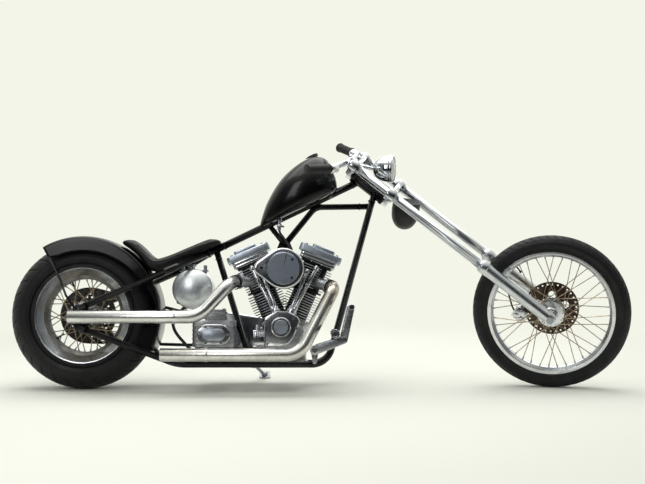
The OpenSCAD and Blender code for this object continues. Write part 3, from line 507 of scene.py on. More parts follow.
def lens_glass():
    """Pressed glass: clear, faintly fluted."""
    made = bpy.data.materials.new("pressed_lens_glass")
    made.use_nodes = True
    tree = made.node_tree
    tree.nodes.clear()
    where = node(tree, "ShaderNodeTexCoord").outputs["Object"]
    ribs = node(tree, "ShaderNodeTexWave", {"Vector": where, "Scale": 60.0}, bands_direction="Y")
    bump = node(tree, "ShaderNodeBump", {"Height": ribs.outputs["Fac"], "Distance": 0.0006, "Strength": 1.0})
    shader = node(tree, "ShaderNodeBsdfPrincipled", {
        "Base Color": linear("#f4f8fa"), "Roughness": 0.03, "IOR": 1.5, "Transmission Weight": 1.0, "Normal": bump})
    node(tree, "ShaderNodeOutputMaterial", {"Surface": shader})
    return made


GLASS = lens_glass()

# ---- Fastener shapes, one millimetre in radius

HEX_BOLT = Solid().spin([(0, 0), (1.35, 0), (1.35, 0.2), (0, 0.2)], steps=16)
HEX_BOLT.spin([(0, 0.2), (1, 0.2), (1, 0.78), (0.86, 0.92), (0, 0.92)], steps=6)
SOCKET_BOLT = Solid().spin([(0, 0), (1, 0), (1, 0.82), (0.92, 0.95), (0.56, 0.95), (0.54, 0.45), (0, 0.45)],
                           steps=14)
DOME_NUT = Solid().spin([(0, 0), (1, 0), (0.98, 0.45), (0.84, 0.8), (0.5, 1.02), (0, 1.1)], steps=14)
SLOT_SCREW = Solid().spin([(0, 0), (1, 0), (1, 0.4), (0, 0.4)], steps=16)
for half in (1, -1):
    SLOT_SCREW.plate([(math.cos(math.radians(a)), half * math.sin(math.radians(a))) for a in range(10, 171, 16)],
                     0.3, 0.72)

# ---- Wheels, about their axles: local z along the axle to the machine's left


def tyre(name, stands_for, place, body, radius, width, flange, rim_w, cells, depth):
    """Round-crowned tyre: bead, sidewall with rings, and a grooved tread."""
    crown, half = radius - width / 2, width / 2
    side = [(flange - 12, rim_w / 2 - 6), (flange - 11, rim_w / 2 - 4.4), (flange + 0.8, rim_w / 2 - 4.2),
            (flange + 1.2, rim_w / 2 - 0.6), (flange + 4, rim_w / 2 + 0.11 * half)]
    outline, tread = [], []
    for k in range(-64, 65):
        lean = math.radians(k * 101 / 64)
        r, z = crown + half * math.cos(lean), half * math.sin(lean)
        if r < flange + 6:
            continue
        limit = rim_w / 2 + (r - flange) / (crown + width / 8 - flange) * (half - rim_w / 2)
        z = max(-limit, min(limit, z))
        ring = sum(h * math.exp(-((r - c) / w) ** 2) for c, w, h in (
            (flange + 12, 2.2, 1.2), (crown + 0.47 * half, 1.6, 1.3), (crown + 0.33 * half, 1.2, 0.7)))
        outline.append((r + ring * math.cos(lean) * 0.6, z + ring * math.copysign(0.8, z)))
        tread.append(math.degrees(lean))
    loop = [(r, -z) for r, z in side] + outline + [(r, z) for r, z in reversed(side)]
    lean_of = [180.0] * len(side) + tread + [180.0] * len(side)
    inner = half - 12
    for k in range(9):
        lean = math.radians(100 - 200 * k / 8)
        loop.append((crown + 2 + inner * math.cos(lean), inner * math.sin(lean)))
        lean_of.append(180.0)
    steps = 480
    a = np.radians(np.arange(steps) * 360 / steps)[:, None]
    r, z = np.array([p[0] for p in loop])[None, :], np.array([p[1] for p in loop])[None, :]
    lean = np.array(lean_of)[None, :]
    sweep = (np.abs(lean) - 8) / 50
    phase = a * cells / (2 * math.pi) + 0.5 * (lean > 0) - 0.75 * np.clip(sweep, 0, 1) ** 1.3
    edge = np.abs(phase - np.round(phase)) / 0.075
    groove = np.clip(1.6 - edge * 1.6, 0, 1) * (np.abs(lean) > 7) * np.clip((56 - np.abs(lean)) / 3, 0, 1)
    groove = np.maximum(groove, (np.abs(lean) < 2.2) * 1.0)
    depth_r = depth * groove * np.cos(np.radians(lean)) * (np.abs(lean) < 60)
    depth_z = depth * groove * np.sin(np.radians(lean)) * (np.abs(lean) < 60)
    rr, zz = r - depth_r, z - depth_z
    grid = np.stack([rr * np.cos(a), rr * np.sin(a), zz + 0 * a], axis=-1)
    Solid().grid([list(map(tuple, ring)) for ring in grid], closed=True).piece(
        name, place, body, TYRE, "tyre_rubber", stands_for, sharp=50)


def rim(name, stands_for, place, body, flange, width, depth, material):
    """Rolled flanges, bead seats and a dropped well."""
    seat, t = flange - 12, 4
    well = seat - depth
    h = width / 2
    half = [(flange, h - 0.9), (flange - 0.6, h - 0.1), (flange - 2.2, h), (seat - t + 2, h), (seat - t, h - 2),
            (seat - t, width * 0.32), (well - t, width * 0.20)]
    back = [(well, width * 0.18), (seat, width * 0.30), (seat, h - t), (flange - 1, h - t), (flange, h - t + 0.8)]
    loop = half + [(r, -z) for r, z in reversed(half)] + [(r, -z) for r, z in back] + \
        [(r, z) for r, z in reversed(back)]
    Solid().spin(loop, steps=160, closed=True).piece(name, place, body, material, "polished_aluminium", stands_for,
                                                     bevel=0.7, rounds=2)


def laced_wheel(prefix, place, body, hub_r, hub_y, rim_r, rim_y, wire_r, stands_for):
    """Forty spokes with elbows at the hub's flanges and nipples at the rim."""
    count, lead = 40, 54
    lines, nipples, heads = [], [], []
    for k in range(count):
        side = 1 if k % 2 == 0 else -1
        outer = 1 if (k // 2) % 2 == 0 else -1
        a, b = (math.radians(v) for v in (360 * k / count - outer * lead, 360 * k / count))
        z = side * (hub_y + 3.5 * outer)
        start = Vector((hub_r * math.cos(a), hub_r * math.sin(a), z))
        end = Vector((rim_r * math.cos(b), rim_r * math.sin(b), side * (rim_y + 3.5 * outer)))
        along = unit(end - start)
        lines.append([start - Vector((0, 0, side * outer * 5)),
                      start + along * 2.5 - Vector((0, 0, side * outer * 1.5)),
                      start + along * 7, start.lerp(end, 0.5), end])
        nipples.append((end - along * 13, along, wire_r))
        heads.append((start - Vector((0, 0, side * outer * 4.2)), (0, 0, -side * outer), 2.0 * wire_r))
    sweep_lines(prefix + "_laced_spokes", lines, wire_r, place, body, SPOKE, stands_for, sides=10)
    nipple = Solid().spin([(0, -1.5), (1.25, -1.5), (1.35, 0.8), (1.7, 1.2), (1.7, 5.0), (2.4, 6.4),
                           (2.4, 7.0), (0, 7.0)],
                          steps=10)
    set_at(prefix + "_spoke_nipples", nipple, nipples, place, body, ZINC)
    set_at(prefix + "_spoke_heads", DOME_NUT, heads, place, body, ZINC)


def hub(name, stands_for, place, body, half, core, flange_r, flange_y, bore, material=POLISHED):
    """A hub turned in one piece: barrel, two spoke flanges and its bore."""
    f = flange_y
    side = [(bore, 0), (bore, half), (core - 3, half), (core, half - 3), (core, f + 8), (core + 4, f + 4),
            (flange_r - 9, f + 3), (flange_r - 1, f + 3), (flange_r, f + 1.6), (flange_r, f - 1.6),
            (flange_r - 1, f - 3), (flange_r - 9, f - 3), (core + 4, f - 5), (core - 3, f - 12), (core - 6, 0)]
    loop = side + [(r, -z) for r, z in reversed(side[:-1])][:-1]
    Solid().spin(loop, steps=72, closed=True).piece(name, place, body, material, "polished_aluminium", stands_for)


tyre("rear_tyre_moulding", "rear_tyre", REAR_WHEEL, "rear_wheel", REAR_R, REAR_W, REAR_FLANGE, REAR_RIM_W, 30, 4.5)
tyre("front_tyre_moulding", "front_tyre", FRONT_WHEEL, "front_wheel", FRONT_R, FRONT_W, FRONT_FLANGE, FRONT_RIM_W,
     60, 3.0)
def well_liner(name, place, body, flange, width, depth):
    """The dull inward face of a deep rim well, a hair inside the rim; its dark grey is painted shade."""
    seat, t = flange - 12.4, 4
    well = seat - depth
    side = [(seat - t, width / 2 - 12), (seat - t, width * 0.32), (well - t, width * 0.20)]
    Solid().spin(side + [(r, -z) for r, z in reversed(side)] + [(r + 0.3, -z) for r, z in side] +
                 [(r + 0.3, z) for r, z in reversed(side)], steps=160, closed=True).piece(
        name, place, body, RIM_WELL_SHADE, "polished_aluminium")


well_liner("rear_rim_well", REAR_WHEEL, "rear_wheel", REAR_FLANGE, REAR_RIM_W, REAR_WELL)
rim("rear_rolled_rim", "rear_rim", REAR_WHEEL, "rear_wheel", REAR_FLANGE, REAR_RIM_W, REAR_WELL, POLISHED)
rim("front_rolled_rim", "front_rim", FRONT_WHEEL, "front_wheel", FRONT_FLANGE, FRONT_RIM_W, FRONT_WELL, POLISHED)
laced_wheel("rear", REAR_WHEEL, "rear_wheel", 56, 44, REAR_FLANGE - 12 - REAR_WELL - 2, 6, 2.1, "rear_spokes")
laced_wheel("front", FRONT_WHEEL, "front_wheel", 52, 38, FRONT_FLANGE - 12 - FRONT_WELL - 2, 5, 1.9,
            "front_spokes")
hub("rear_turned_hub", "rear_hub", REAR_WHEEL, "rear_wheel", 104, 32, 62, 44, 12.05)
hub("front_turned_hub", "front_hub", FRONT_WHEEL, "front_wheel", 80, 27, 58, 38, 10.05)

# Brake rotor and sprocket, with their lathe marks about the axle
FRONT_ROTOR = finish("ground_rotor_steel", "#5d5048", "#3d3530", 0.36, 1.0, patch=30, relief=0.02,
                     place=FRONT_WHEEL, turned=1.2)
REAR_ROTOR = finish("ground_sprocket_steel", "#4a4845", "#302f2d", 0.38, 1.0, patch=30, relief=0.02,
                    place=REAR_WHEEL, turned=1.2)
fine_copy("front_disc", "front_wheel", FRONT_ROTOR, 0.4)
plate = Solid().spin([(30, CHAIN_Y - 3), (30, CHAIN_Y + 3), (111, CHAIN_Y + 3), (111, CHAIN_Y - 3)], steps=144,
                     closed=True)
windows = Solid()
for arm in range(6):
    a = math.radians(30 + 60 * arm)
    windows.rod((78 * math.cos(a), 78 * math.sin(a), CHAIN_Y - 9),
                (78 * math.cos(a), 78 * math.sin(a), CHAIN_Y + 9), 21,
                steps=40)
plate.piece("rear_sprocket_plate", REAR_WHEEL, "rear_wheel", REAR_ROTOR, "disc_steel", "rear_sprocket", bevel=0.4,
            cutter=windows.mesh_only("sprocket_windows", REAR_WHEEL))


def ring_spots(count, radius, z, aim, size, start=0.0):
    """Spots evenly round a local z axis."""
    return [((radius * math.cos(a), radius * math.sin(a), z), aim, size)
            for a in (math.radians(start + 360 * k / count) for k in range(count))]


UP, DOWN = (0, 0, 1), (0, 0, -1)
set_at("front_rotor_bolts", SOCKET_BOLT, ring_spots(5, 36, DISC_Y + 2.5, UP, 4.5)
       + ring_spots(5, 36, DISC_Y - 2.5, DOWN, 4.5, 0), FRONT_WHEEL, "front_wheel", ZINC)
set_at("rear_sprocket_bolts", HEX_BOLT, ring_spots(6, 56, CHAIN_Y + 3, UP, 5.5)
       + ring_spots(6, 56, CHAIN_Y - 3, DOWN, 5.5), REAR_WHEEL, "rear_wheel", ZINC)
tooth = Solid().plate([(-5.6, 0), (5.6, 0), (3.4, 5), (1.6, 8.5), (-1.6, 8.5), (-3.4, 5)], -2.4, 2.4)
set_at("rear_sprocket_teeth", tooth, [
    ((110.5 * math.cos(a), 110.5 * math.sin(a), CHAIN_Y), (0, 0, 1), 1.0, (math.sin(a), -math.cos(a), 0))
    for a in (math.radians(360 * (k + 0.5) / 48) for k in range(48))], REAR_WHEEL, "rear_wheel", REAR_ROTOR)
# Rear brake rotor inboard of the sprocket, drilled through, seen behind the spokes
blank = Solid().spin([(58, 66), (58, 62), (126, 62), (126, 66)], steps=120, closed=True)
drills = Solid()
for hole in range(24):
    for reach, lead in ((115, 0), (99, 0.09), (83, 0.18)):
        around = math.radians(15 * hole) + lead
        drills.rod((reach * math.cos(around), reach * math.sin(around), 58),
                   (reach * math.cos(around), reach * math.sin(around), 70), 4.6, steps=12)
blank.piece("rear_drilled_rotor", REAR_WHEEL, "rear_wheel", REAR_ROTOR, "disc_steel",
            cutter=drills.mesh_only("rotor_drills", REAR_WHEEL))
set_at("rear_rotor_bolts", SOCKET_BOLT, ring_spots(5, 50, -48, DOWN, 4.5), REAR_WHEEL, "rear_wheel", ZINC)

for prefix, place, body, inner, at in (("front", FRONT_WHEEL, "front_wheel", 256, -75),
                                       ("rear", REAR_WHEEL, "rear_wheel", REAR_FLANGE - 16 - REAR_WELL, 140)):
    a = math.radians(at)
    foot = Vector((inner * math.cos(a), inner * math.sin(a), 0))
    inward = -unit(foot)
    Solid().tube([foot, foot + inward * 4, foot + inward * 5, foot + inward * 26, foot + inward * 27,
                  foot + inward * 36], [5, 5, 3.6, 3.6, 5, 5], 12).piece(
        prefix + "_valve_stem", place, body, RUBBER, "black_rubber")

fine_copy("front_axle", "fork", ZINC)
fine_copy("rear_axle", "frame", ZINC)


# ---- Chain: rollers and side plates on the path round both sprockets

def chain_path(count):
    """Pin centres and headings round the two pitch circles, evenly spaced, in side view (x, z)."""
    big, small, far = 121.0, 53.0, (GEARBOX.x, GEARBOX.z)
    dx, dz = far[0], far[1] - REAR_R
    span, heading = math.hypot(dx, dz), math.atan2(dz, dx)
    lead = math.acos((big - small) / span)
    straight = math.sqrt(span ** 2 - (big - small) ** 2)
    parts = [(small * 2 * lead, "small"), (straight, "top"), (big * (2 * math.pi - 2 * lead), "big"),
             (straight, "low")]
    total = sum(p[0] for p in parts)
    spots = []
    for k in range(count):
        s = total * k / count
        for length, label in parts:
            if s <= length:
                break
            s -= length
        if label in ("small", "big"):
            r, centre = (small, far) if label == "small" else (big, (0, REAR_R))
            start = heading - lead if label == "small" else heading + lead
            a = start + s / r
            spots.append((centre[0] + r * math.cos(a), centre[1] + r * math.sin(a)))
        else:
            sign = 1 if label == "top" else -1
            a = heading + sign * lead
            p = (far[0] + small * math.cos(a), far[1] + small * math.sin(a))
            q = (big * math.cos(a), REAR_R + big * math.sin(a))
            if sign < 0:
                p, q = q, p
            t = s / straight
            spots.append((p[0] + (q[0] - p[0]) * t, p[1] + (q[1] - p[1]) * t))
    return spots


def chain():
    pins = chain_path(112)
    pitch = math.dist(pins[0], pins[1])
    roller = Solid().spin([(0, -9.6), (2.5, -9.6), (2.5, -3.6), (5, -3.4), (5, 3.4), (2.5, 3.6),
                           (2.5, 9.6), (0, 9.6)],
                          steps=10)
    set_at("chain_rollers", roller, [((x, CHAIN_Y, z), (0, 1, 0), 1.0) for x, z in pins], PARKED, "frame", DARK)
    bar = Solid().plate(link_outline((-pitch / 2, 0), 6.8, (pitch / 2, 0), 6.8, 6), -0.9, 0.9)
    spots = []
    for k, (x, z) in enumerate(pins):
        x2, z2 = pins[(k + 1) % len(pins)]
        out = 7.6 if k % 2 else 5.4
        spots += [(((x + x2) / 2, CHAIN_Y + side * out, (z + z2) / 2), (0, 1, 0), 1.0, (x2 - x, 0, z2 - z))
                  for side in (-1, 1)]
    set_at("chain_side_plates", bar, spots, PARKED, "frame", DARK, "drive_chain")


chain()


# ---- Frame tubes, plates and weld beads

for tube in ("neck", "backbone", "upper_stays", "downtubes", "lower_rails", "seat_tube", "top_brace",
             "fender_struts"):
    fine_copy(tube, "frame", FRAME_PAINT)
fine_copy("axle_plates", "frame", FRAME_PAINT, 0.8)
fine_copy("side_stand", "side_stand", ZINC)


def weld_ring(centre, aim, radius, size=2.6):
    """Beads of a weld round a tube."""
    aim = unit(aim)
    side = aim.orthogonal().normalized()
    other = aim.cross(side)
    count = int(2 * math.pi * radius / 4.2)
    centre = Vector(centre)
    return [(centre + radius * (math.cos(2 * math.pi * k / count) * side + math.sin(2 * math.pi * k / count) * other),
             aim, size) for k in range(count)]


BEAD = Solid().spin([(0, -0.8), (0.7, -0.55), (1, 0), (0.7, 0.55), (0, 0.8)], steps=8)
welds = weld_ring((618, 0, 635), (1, 0, 0.48), 16.6) + weld_ring((1190, 0, 909.6), (1, 0, 0.48), 16.8)
welds += weld_ring((592, 0, 577), (0.3, 0, -1), 14.6) + weld_ring((1222, 0, 811), (1, 0, 0.02), 14)
welds += weld_ring((840, 0, 700), (0.62, 0, -0.78), 12) + weld_ring((738, 0, 135), (0.3, 0, -1), 14.6)
for side in (-1, 1):
    welds += weld_ring((546, side * 30, 600.5), (184, -side * 146, 92), 14.6)
    welds += weld_ring((1276, side * 22.5, 833), (212, -side * 104, 767), 14.6)
    welds += weld_ring((26, side * 149.7, 366), (398, 0, 172), 14.4)
    welds += weld_ring((26, side * 149, 261), (423, -side * 28, -159), 14.4)
set_at("frame_weld_beads", BEAD, welds, PARKED, "frame", FRAME_PAINT)

# ---- Rear fender: one rounded section swept round the wheel, deeper at its sides over the top


def fender():
    stations, rings = np.linspace(-28, 120, 75), []
    skirt = lambda a: float(np.interp(a, (-28, 0, 14, 32, 60, 85, 112, 118, 120),
                                      (338, 336, 322, 298, 284, 279, 276, 286, 300)))
    half = lambda a: float(np.interp(a, (-28, 14, 40, 120), (104, 108, 113, 113)))
    for a in stations:
        low, w = skirt(a), half(a)
        ring = [(low + (334 - low) * k / 6, -w) for k in range(6)]
        for k in range(33):
            t = math.radians(-90 + 180 * k / 32)
            ring.append((334 + 17 * abs(math.cos(t)) ** 0.75, w * math.copysign(abs(math.sin(t)) ** 0.62, t)))
        ring += [(low + (334 - low) * k / 6, w) for k in range(5, -1, -1)]
        c, s = math.cos(math.radians(a)), -math.sin(math.radians(a))
        rings.append([(r * c, r * s, z) for r, z in ring])
    Solid().grid(rings, round_rings=False, caps=False).piece(
        "rear_fender_pressing", REAR_WHEEL, "frame", PAINT, "gloss_black_paint", "rear_fender", wall=3, bevel=0.8)
    fixing = []
    for side in (-1, 1):
        for p in ((-124, 552), (-104, 512)):
            fixing.append(((p[0], side * 113.5, p[1]), (0, side, 0), 5))
        fixing.append(((-24, side * 138, 352), (0, side, 0), 6))
        fixing.append(((18, side * 137, 300), (0, side, 0), 5))
    set_at("fender_bolts", DOME_NUT, fixing, PARKED, "frame", BLACK_FITTING)


fender()

# ---- Fuel tank: a teardrop along the backbone, its tunnel, cap and valve

TANK_W, TANK_H = 250, 195
ON_BACKBONE = PARKED @ shift(776, 0, 711) @ turn("Y", -math.degrees(math.atan2(928.8 - 619, 1229.8 - 584)))
TANK = [(2, 0.03, 3, 0.05), (6, 0.10, 2, 0.07), (22, 0.26, 0, 0.17), (40, 0.42, -2, 0.27), (65, 0.56, -3, 0.41),
        (95, 0.69, -4, 0.535), (135, 0.82, -4, 0.685), (181, 0.93, -4, 0.82), (225, 0.99, -4, 0.905),
        (270, 1.0, -4, 0.965), (310, 0.97, -4, 0.995), (340, 0.90, -3, 0.995), (365, 0.80, -1, 0.965),
        (385, 0.66, 4, 0.90), (398, 0.50, 30, 0.84), (405, 0.34, 66, 0.78), (407, 0.14, 100, 0.66)]


def tank():
    rings = []
    for along, wide, low, high in TANK:
        top, w = high * TANK_H, wide * TANK_W / 2
        mid = (top + low) * 0.36
        ring = []
        for k in range(32):
            a = 2 * math.pi * (k + 0.5) / 32
            c, s = math.cos(a), math.sin(a)
            y = w * math.copysign(abs(c) ** (0.8 if s > 0 else 0.5), c)
            ring.append((along, y, mid + ((top - mid) * s ** 0.9 if s > 0 else -(mid - low) * (-s) ** 0.6)))
        rings.append(ring)
    cutter = Solid().rod((-30, 0, 0), (450, 0, 0), 19, steps=40).mesh_only("tank_tunnel", ON_BACKBONE)
    Solid().grid(rings).piece("fuel_tank_shell", ON_BACKBONE, "frame", PAINT, "gloss_black_paint", "fuel_tank",
                              subdivide=2, cutter=cutter, sharp=50)
    seam = [(a, 0.985 * w * TANK_W / 2, low + 5) for a, w, low, _ in TANK[2:14]]
    for side in (-1, 1):
        line = smooth_route([(x, side * y, z) for x, y, z in seam], 4)
        Solid().tube(line, 2.2, 8).piece("tank_seam_" + ("right" if side < 0 else "left"), ON_BACKBONE, "frame",
                                         PAINT, "gloss_black_paint")
    cap = ON_BACKBONE @ shift(350, 0, TANK_H - 8)
    Solid().spin([(0, 0), (29, 0), (29, 3), (27, 5), (27, 9), (25.5, 11), (22, 11.6), (21, 12.4), (0, 12.8)],
                 cap, 48).piece("fuel_cap_turned", Matrix(), "frame", BLACK_FITTING, "gloss_black_paint", "fuel_cap")
    set_at("fuel_cap_grips", Solid().rod((0, 0, 0), (0, 0, 6), 1.3, steps=8),
           ring_spots(24, 27.2, 4.5, UP, 1.0), cap, "frame", BLACK_FITTING)
    tab = Solid().block((1083, -27, 848), (1101, -22, 868)).block((1083, -26, 862), (1101, -4, 867))
    tab.piece("tank_mount_tab", PARKED, "frame", ZINC, "cast_aluminium", bevel=1)
    set_at("tank_mount_bolt", HEX_BOLT, [((1092, -27, 857), (0, -1, 0), 6)], PARKED, "frame", ZINC)
    valve = Solid().rod((864, -42, 704), (864, -42, 752), 8).rod((864, -42, 716), (864, -42, 730), 11)
    valve.rod((864, -42, 722), (864, -66, 722), 6).rod((864, -42, 744), (864, -42, 750), 12, steps=6)
    valve.plate(link_outline((864, 722), 7, (884, 716), 3.5), 66, 69, SIDE).rod((864, -42, 698), (864, -42, 706), 6)
    valve.piece("fuel_valve_body", PARKED, "frame", ZINC, "cast_aluminium", "fuel_valve", bevel=0.6)


tank()

# ---- Seat: a padded leather cushion, swelled by a cloth simulation, with welts

SEAT_TOP = [(180, 661), (200, 666), (227, 655), (254, 632), (281, 606), (304, 590), (322, 583),
            (345, 584), (400, 602), (460, 627), (530, 656), (583, 671), (603, 663)]
SEAT_LOW = [(168, 645), (191, 627), (216, 608), (241, 587), (263, 560), (284, 528), (308, 506),
            (334, 503), (390, 530), (452, 565), (526, 603), (588, 637), (603, 650)]
# Metres: the cushion's voxels, and how far its skin may swell; then the frames it swells over
VOXEL, SWELL, LAST_FRAME = 0.005, 0.006, 20
RIB_PITCH, RIB_DEPTH = 9.0, 1.5
SEAT_HALF = [86, 102, 113, 118, 119, 119, 118, 115, 109, 99, 83, 64, 52]


def seat_rings(shrink, cells):
    """Rings across the seat, from its back to its front."""
    def spline(values):
        return [v.x for v in smooth_route([(v, 0, 0) for v in values], cells)]
    tops = list(zip(spline([p[0] for p in SEAT_TOP]), spline([p[1] for p in SEAT_TOP])))
    lows = list(zip(spline([p[0] for p in SEAT_LOW]), spline([p[1] for p in SEAT_LOW])))
    rings = []
    for top, low, half in zip(tops, lows, spline(SEAT_HALF)):
        top, low = Vector((top[0], 0, top[1])), Vector((low[0], 0, low[1]))
        middle, rise = (top + low) / 2, (top - low) / 2
        ring = []
        for k in range(32):
            a = 2 * math.pi * k / 32
            c, s = math.cos(a), math.sin(a)
            across = (half - shrink) * math.copysign(abs(c) ** 0.35, c)
            up = math.copysign(abs(s) ** 0.6, s) * (1 - 0.12 * (across / half) ** 2 * (s > 0))
            ring.append(middle + rise * up * (1 - shrink / 18) + Vector((0, across, 0)))
        rings.append(ring)
    return rings


def seat():
    pad = Solid().grid(seat_rings(5, 3))
    mesh = bpy.data.meshes.new("seat_cushion")
    mesh.from_pydata([PARKED @ p for p in pad.points], [], pad.faces)
    cushion = new_object("seat_cushion", mesh)
    work = bmesh.new()
    work.from_mesh(mesh)
    bmesh.ops.recalc_face_normals(work, faces=work.faces)
    work.to_mesh(mesh)
    work.free()
    voxels = cushion.modifiers.new("voxels", "REMESH")
    voxels.mode, voxels.voxel_size = "VOXEL", VOXEL
    settle(cushion)
    start = np.array([v.co for v in cushion.data.vertices])
    cloth = cushion.modifiers.new("swell", "CLOTH")
    cloth.settings.use_pressure = True
    cloth.settings.uniform_pressure_force = 4.0
    cloth.settings.effector_weights.gravity = 0.0
    cloth.point_cache.frame_start, cloth.point_cache.frame_end = 1, LAST_FRAME
    scene = bpy.context.scene
    for step in range(1, LAST_FRAME + 1):
        scene.frame_set(step)
    settle(cushion)
    scene.frame_set(1)
    moved = np.array([v.co for v in cushion.data.vertices]) - start
    far = np.linalg.norm(moved, axis=1, keepdims=True)
    start = start + moved * np.minimum(1, SWELL / np.maximum(far, 1e-9))
    # Sewn channels across the pad and along its side, pressed in after the swelling
    back = PARKED.inverted()
    points = [back @ Vector(p) for p in start]
    for i, p in enumerate(points):
        rise = (p.z - (0.44 * p.x + 428)) / RIB_PITCH
        depth = RIB_DEPTH * math.exp(-((rise - round(rise)) / 0.16) ** 2) * min(1.0, max(0.0, (p.x - 330) / 30))
        if p.x > 330 and abs(p.y) > 30:
            inward = Vector((0, -math.copysign(1, p.y), 0))
            start[i] += np.array(PARKED.to_3x3() @ (inward * depth))
    cushion.data.vertices.foreach_set("co", start.astype(np.float32).ravel())
    cushion.data.update()
    furnish(cushion, "frame", LEATHER, "seat", subdivide=1, sharp=180, merge=0.0001)
    # A welt along each upper edge, laid on the nearest points of the finished skin
    skin = np.array([tuple(back @ Vector(p)) for p in start])
    for label, spot in (("left", 3), ("right", 13)):
        near = [skin[np.argmin(((skin - np.array(ring[spot])) ** 2).sum(axis=1))] for ring in seat_rings(4, 4)[4:-5]]
        line = [Vector(np.mean(near[max(k - 3, 0):k + 4], axis=0)) for k in range(2, len(near) - 2)]
        Solid().tube(line, 2.2, 8).piece("seat_welt_" + label, PARKED, "frame", LEATHER, "seat_leather")


seat()

# ---- Oil tank: a spun drum across the frame with domed ends, its cap and unions


def oil_tank():
    across = PARKED @ shift(483, 0, 441) @ turn("X", -90)
    dome = [(r, math.sqrt(141 ** 2 - r * r) - 31) for r in np.linspace(0, 84, 16)]
    half = dome + [(85.6, 81.2), (87, 78)]
    weld = [(87.0, 76), (88.2, 75), (88.6, 73), (88.2, 71), (87, 70)]
    loop = half + weld + [(r, -z) for r, z in reversed(weld)] + [(r, -z) for r, z in reversed(half)]
    Solid().spin(loop, across, 96).piece("oil_tank_spinning", Matrix(), "frame", SPUN, "satin_aluminium", "oil_tank",
                                         sharp=60)
    lugs = Solid()
    for x in (433, 533):
        lugs.rod((x, 0, 512), (x, 0, 548), 8, steps=24).rod((x, 0, 520), (x, 0, 526), 15, steps=24)
    lugs.rod((452, -62, 372), (452, -62, 352), 9, steps=6).rod((452, -62, 360), (450, -66, 350), 8, steps=20)
    lugs.rod((430, -56, 392), (420, -74, 380), 7, steps=20)
    lugs.piece("oil_tank_lugs_and_unions", PARKED, "frame", ZINC, "satin_aluminium", bevel=0.8)
    cap = PARKED @ shift(476, -38, 527)
    Solid().spin([(0, -8), (17, -8), (17, 3), (15, 4), (15, 13), (19.5, 14), (19.5, 24), (17.5, 26), (0, 26)], cap,
                 40) \
        .piece("oil_cap_turned", Matrix(), "frame", POLISHED, "polished_aluminium", "oil_cap")
    set_at("oil_cap_knurls", Solid().rod((0, 0, 0), (0, 0, 8), 1.0, steps=6), ring_spots(30, 19.6, 15, UP, 1.0), cap,
           "frame", POLISHED)


oil_tank()

# ---- Engine


def bank(side):
    return PARKED @ Matrix.Translation(CRANK) @ turn("Y", side * BANK)


def crankcase():
    case = Solid()
    drum = Matrix.Translation(CRANK) @ turn("X", -90)
    case.spin([(0, -75), (88, -75), (99, -71), (103, -62), (103, -7), (108, -6), (108, 6), (103, 7), (103, 62),
               (99, 71), (88, 75), (0, 75)], drum, 72)
    case.spin([(0, 75), (64, 75), (62, 84), (60, 88), (60, 132), (0, 132)], drum, 56)
    for side in (-1, 1):
        lean = Matrix.Translation(CRANK) @ turn("Y", side * BANK)
        case.plate(round_rect(134, 128, 34), 58, 102, lean).plate(round_rect(146, 136, 30), 101, 112, lean)
    case.plate(round_rect(192, 150, 16), 118, 168, shift(CRANK.x, 0, 0))
    for x in (-104, 74):
        case.block((CRANK.x + x, -108, 118), (CRANK.x + x + 30, 108, 128))
    for k in range(5):
        x = CRANK.x - 64 + 32 * k
        case.block((x - 2.5, -80, 124), (x + 2.5, -70, 186))
    case.piece("crankcase_casting", PARKED, "frame", CAST, "cast_aluminium", "crankcase", bevel=2.2)
    spots = [((CRANK.x + 97 * math.cos(a), -7, CRANK.z + 97 * math.sin(a)), (0, -1, 0), 5)
             for a in (math.radians(v) for v in (150, 180, 205, 235, 270, 305, 335))]
    for x in (-89, 89):
        spots += [((CRANK.x + x, y, 128), (0, 0, 1), 6) for y in (-96, 96)]
    set_at("crankcase_bolts", HEX_BOLT, spots, PARKED, "frame", ZINC)
    for side in (-1, 1):
        set_at("barrel_base_nuts_" + ("front" if side > 0 else "rear"), HEX_BOLT,
               [((x, y, 112), UP, 5.5) for x in (-64, 64) for y in (-54, 54)], bank(side), "frame", ZINC)


def cam_cover():
    outline = [(906, 343), (858, 343), (806, 316), (804, 300), (804, 196), (812, 188), (880, 188), (912, 202),
               (930, 226), (956, 290), (958, 304), (948, 320)]
    Solid().plate(outline, 75, 148, SIDE).piece("cam_cover_casting", PARKED, "frame", POLISHED, "polished_aluminium",
                                                "cam_cover", bevel=7, rounds=4)
    ring = PARKED @ shift(877, -148, 273) @ turn("X", 90)
    Solid().spin([(0, 0), (44, 0), (43, 4), (39, 6), (39, 14), (37.5, 16), (33, 16), (31.5, 13.5), (0, 13.5)], ring,
                 64) \
        .piece("cam_cover_ring", Matrix(), "frame", POLISHED, "polished_aluminium")
    Solid().spin([(0, 13), (30.5, 13), (30.5, 15), (29.5, 15.8), (0, 15.8)], ring, 64).piece(
        "points_cover_disc", Matrix(), "frame", BRUSHED, "satin_aluminium")
    screws = [((x, -148, z), (0, -1, 0), 5.5) for x, z in (
        (866, 334), (932, 312), (815, 300), (818, 200), (905, 212), (944, 268))]
    screws += [((877 + 24 * c, -163.6, 273 + 24 * s), (0, -1, 0), 3.2) for c, s in ((0.87, 0.5), (-0.87, -0.5))]
    set_at("cam_cover_screws", SLOT_SCREW, screws, PARKED, "frame", ZINC)


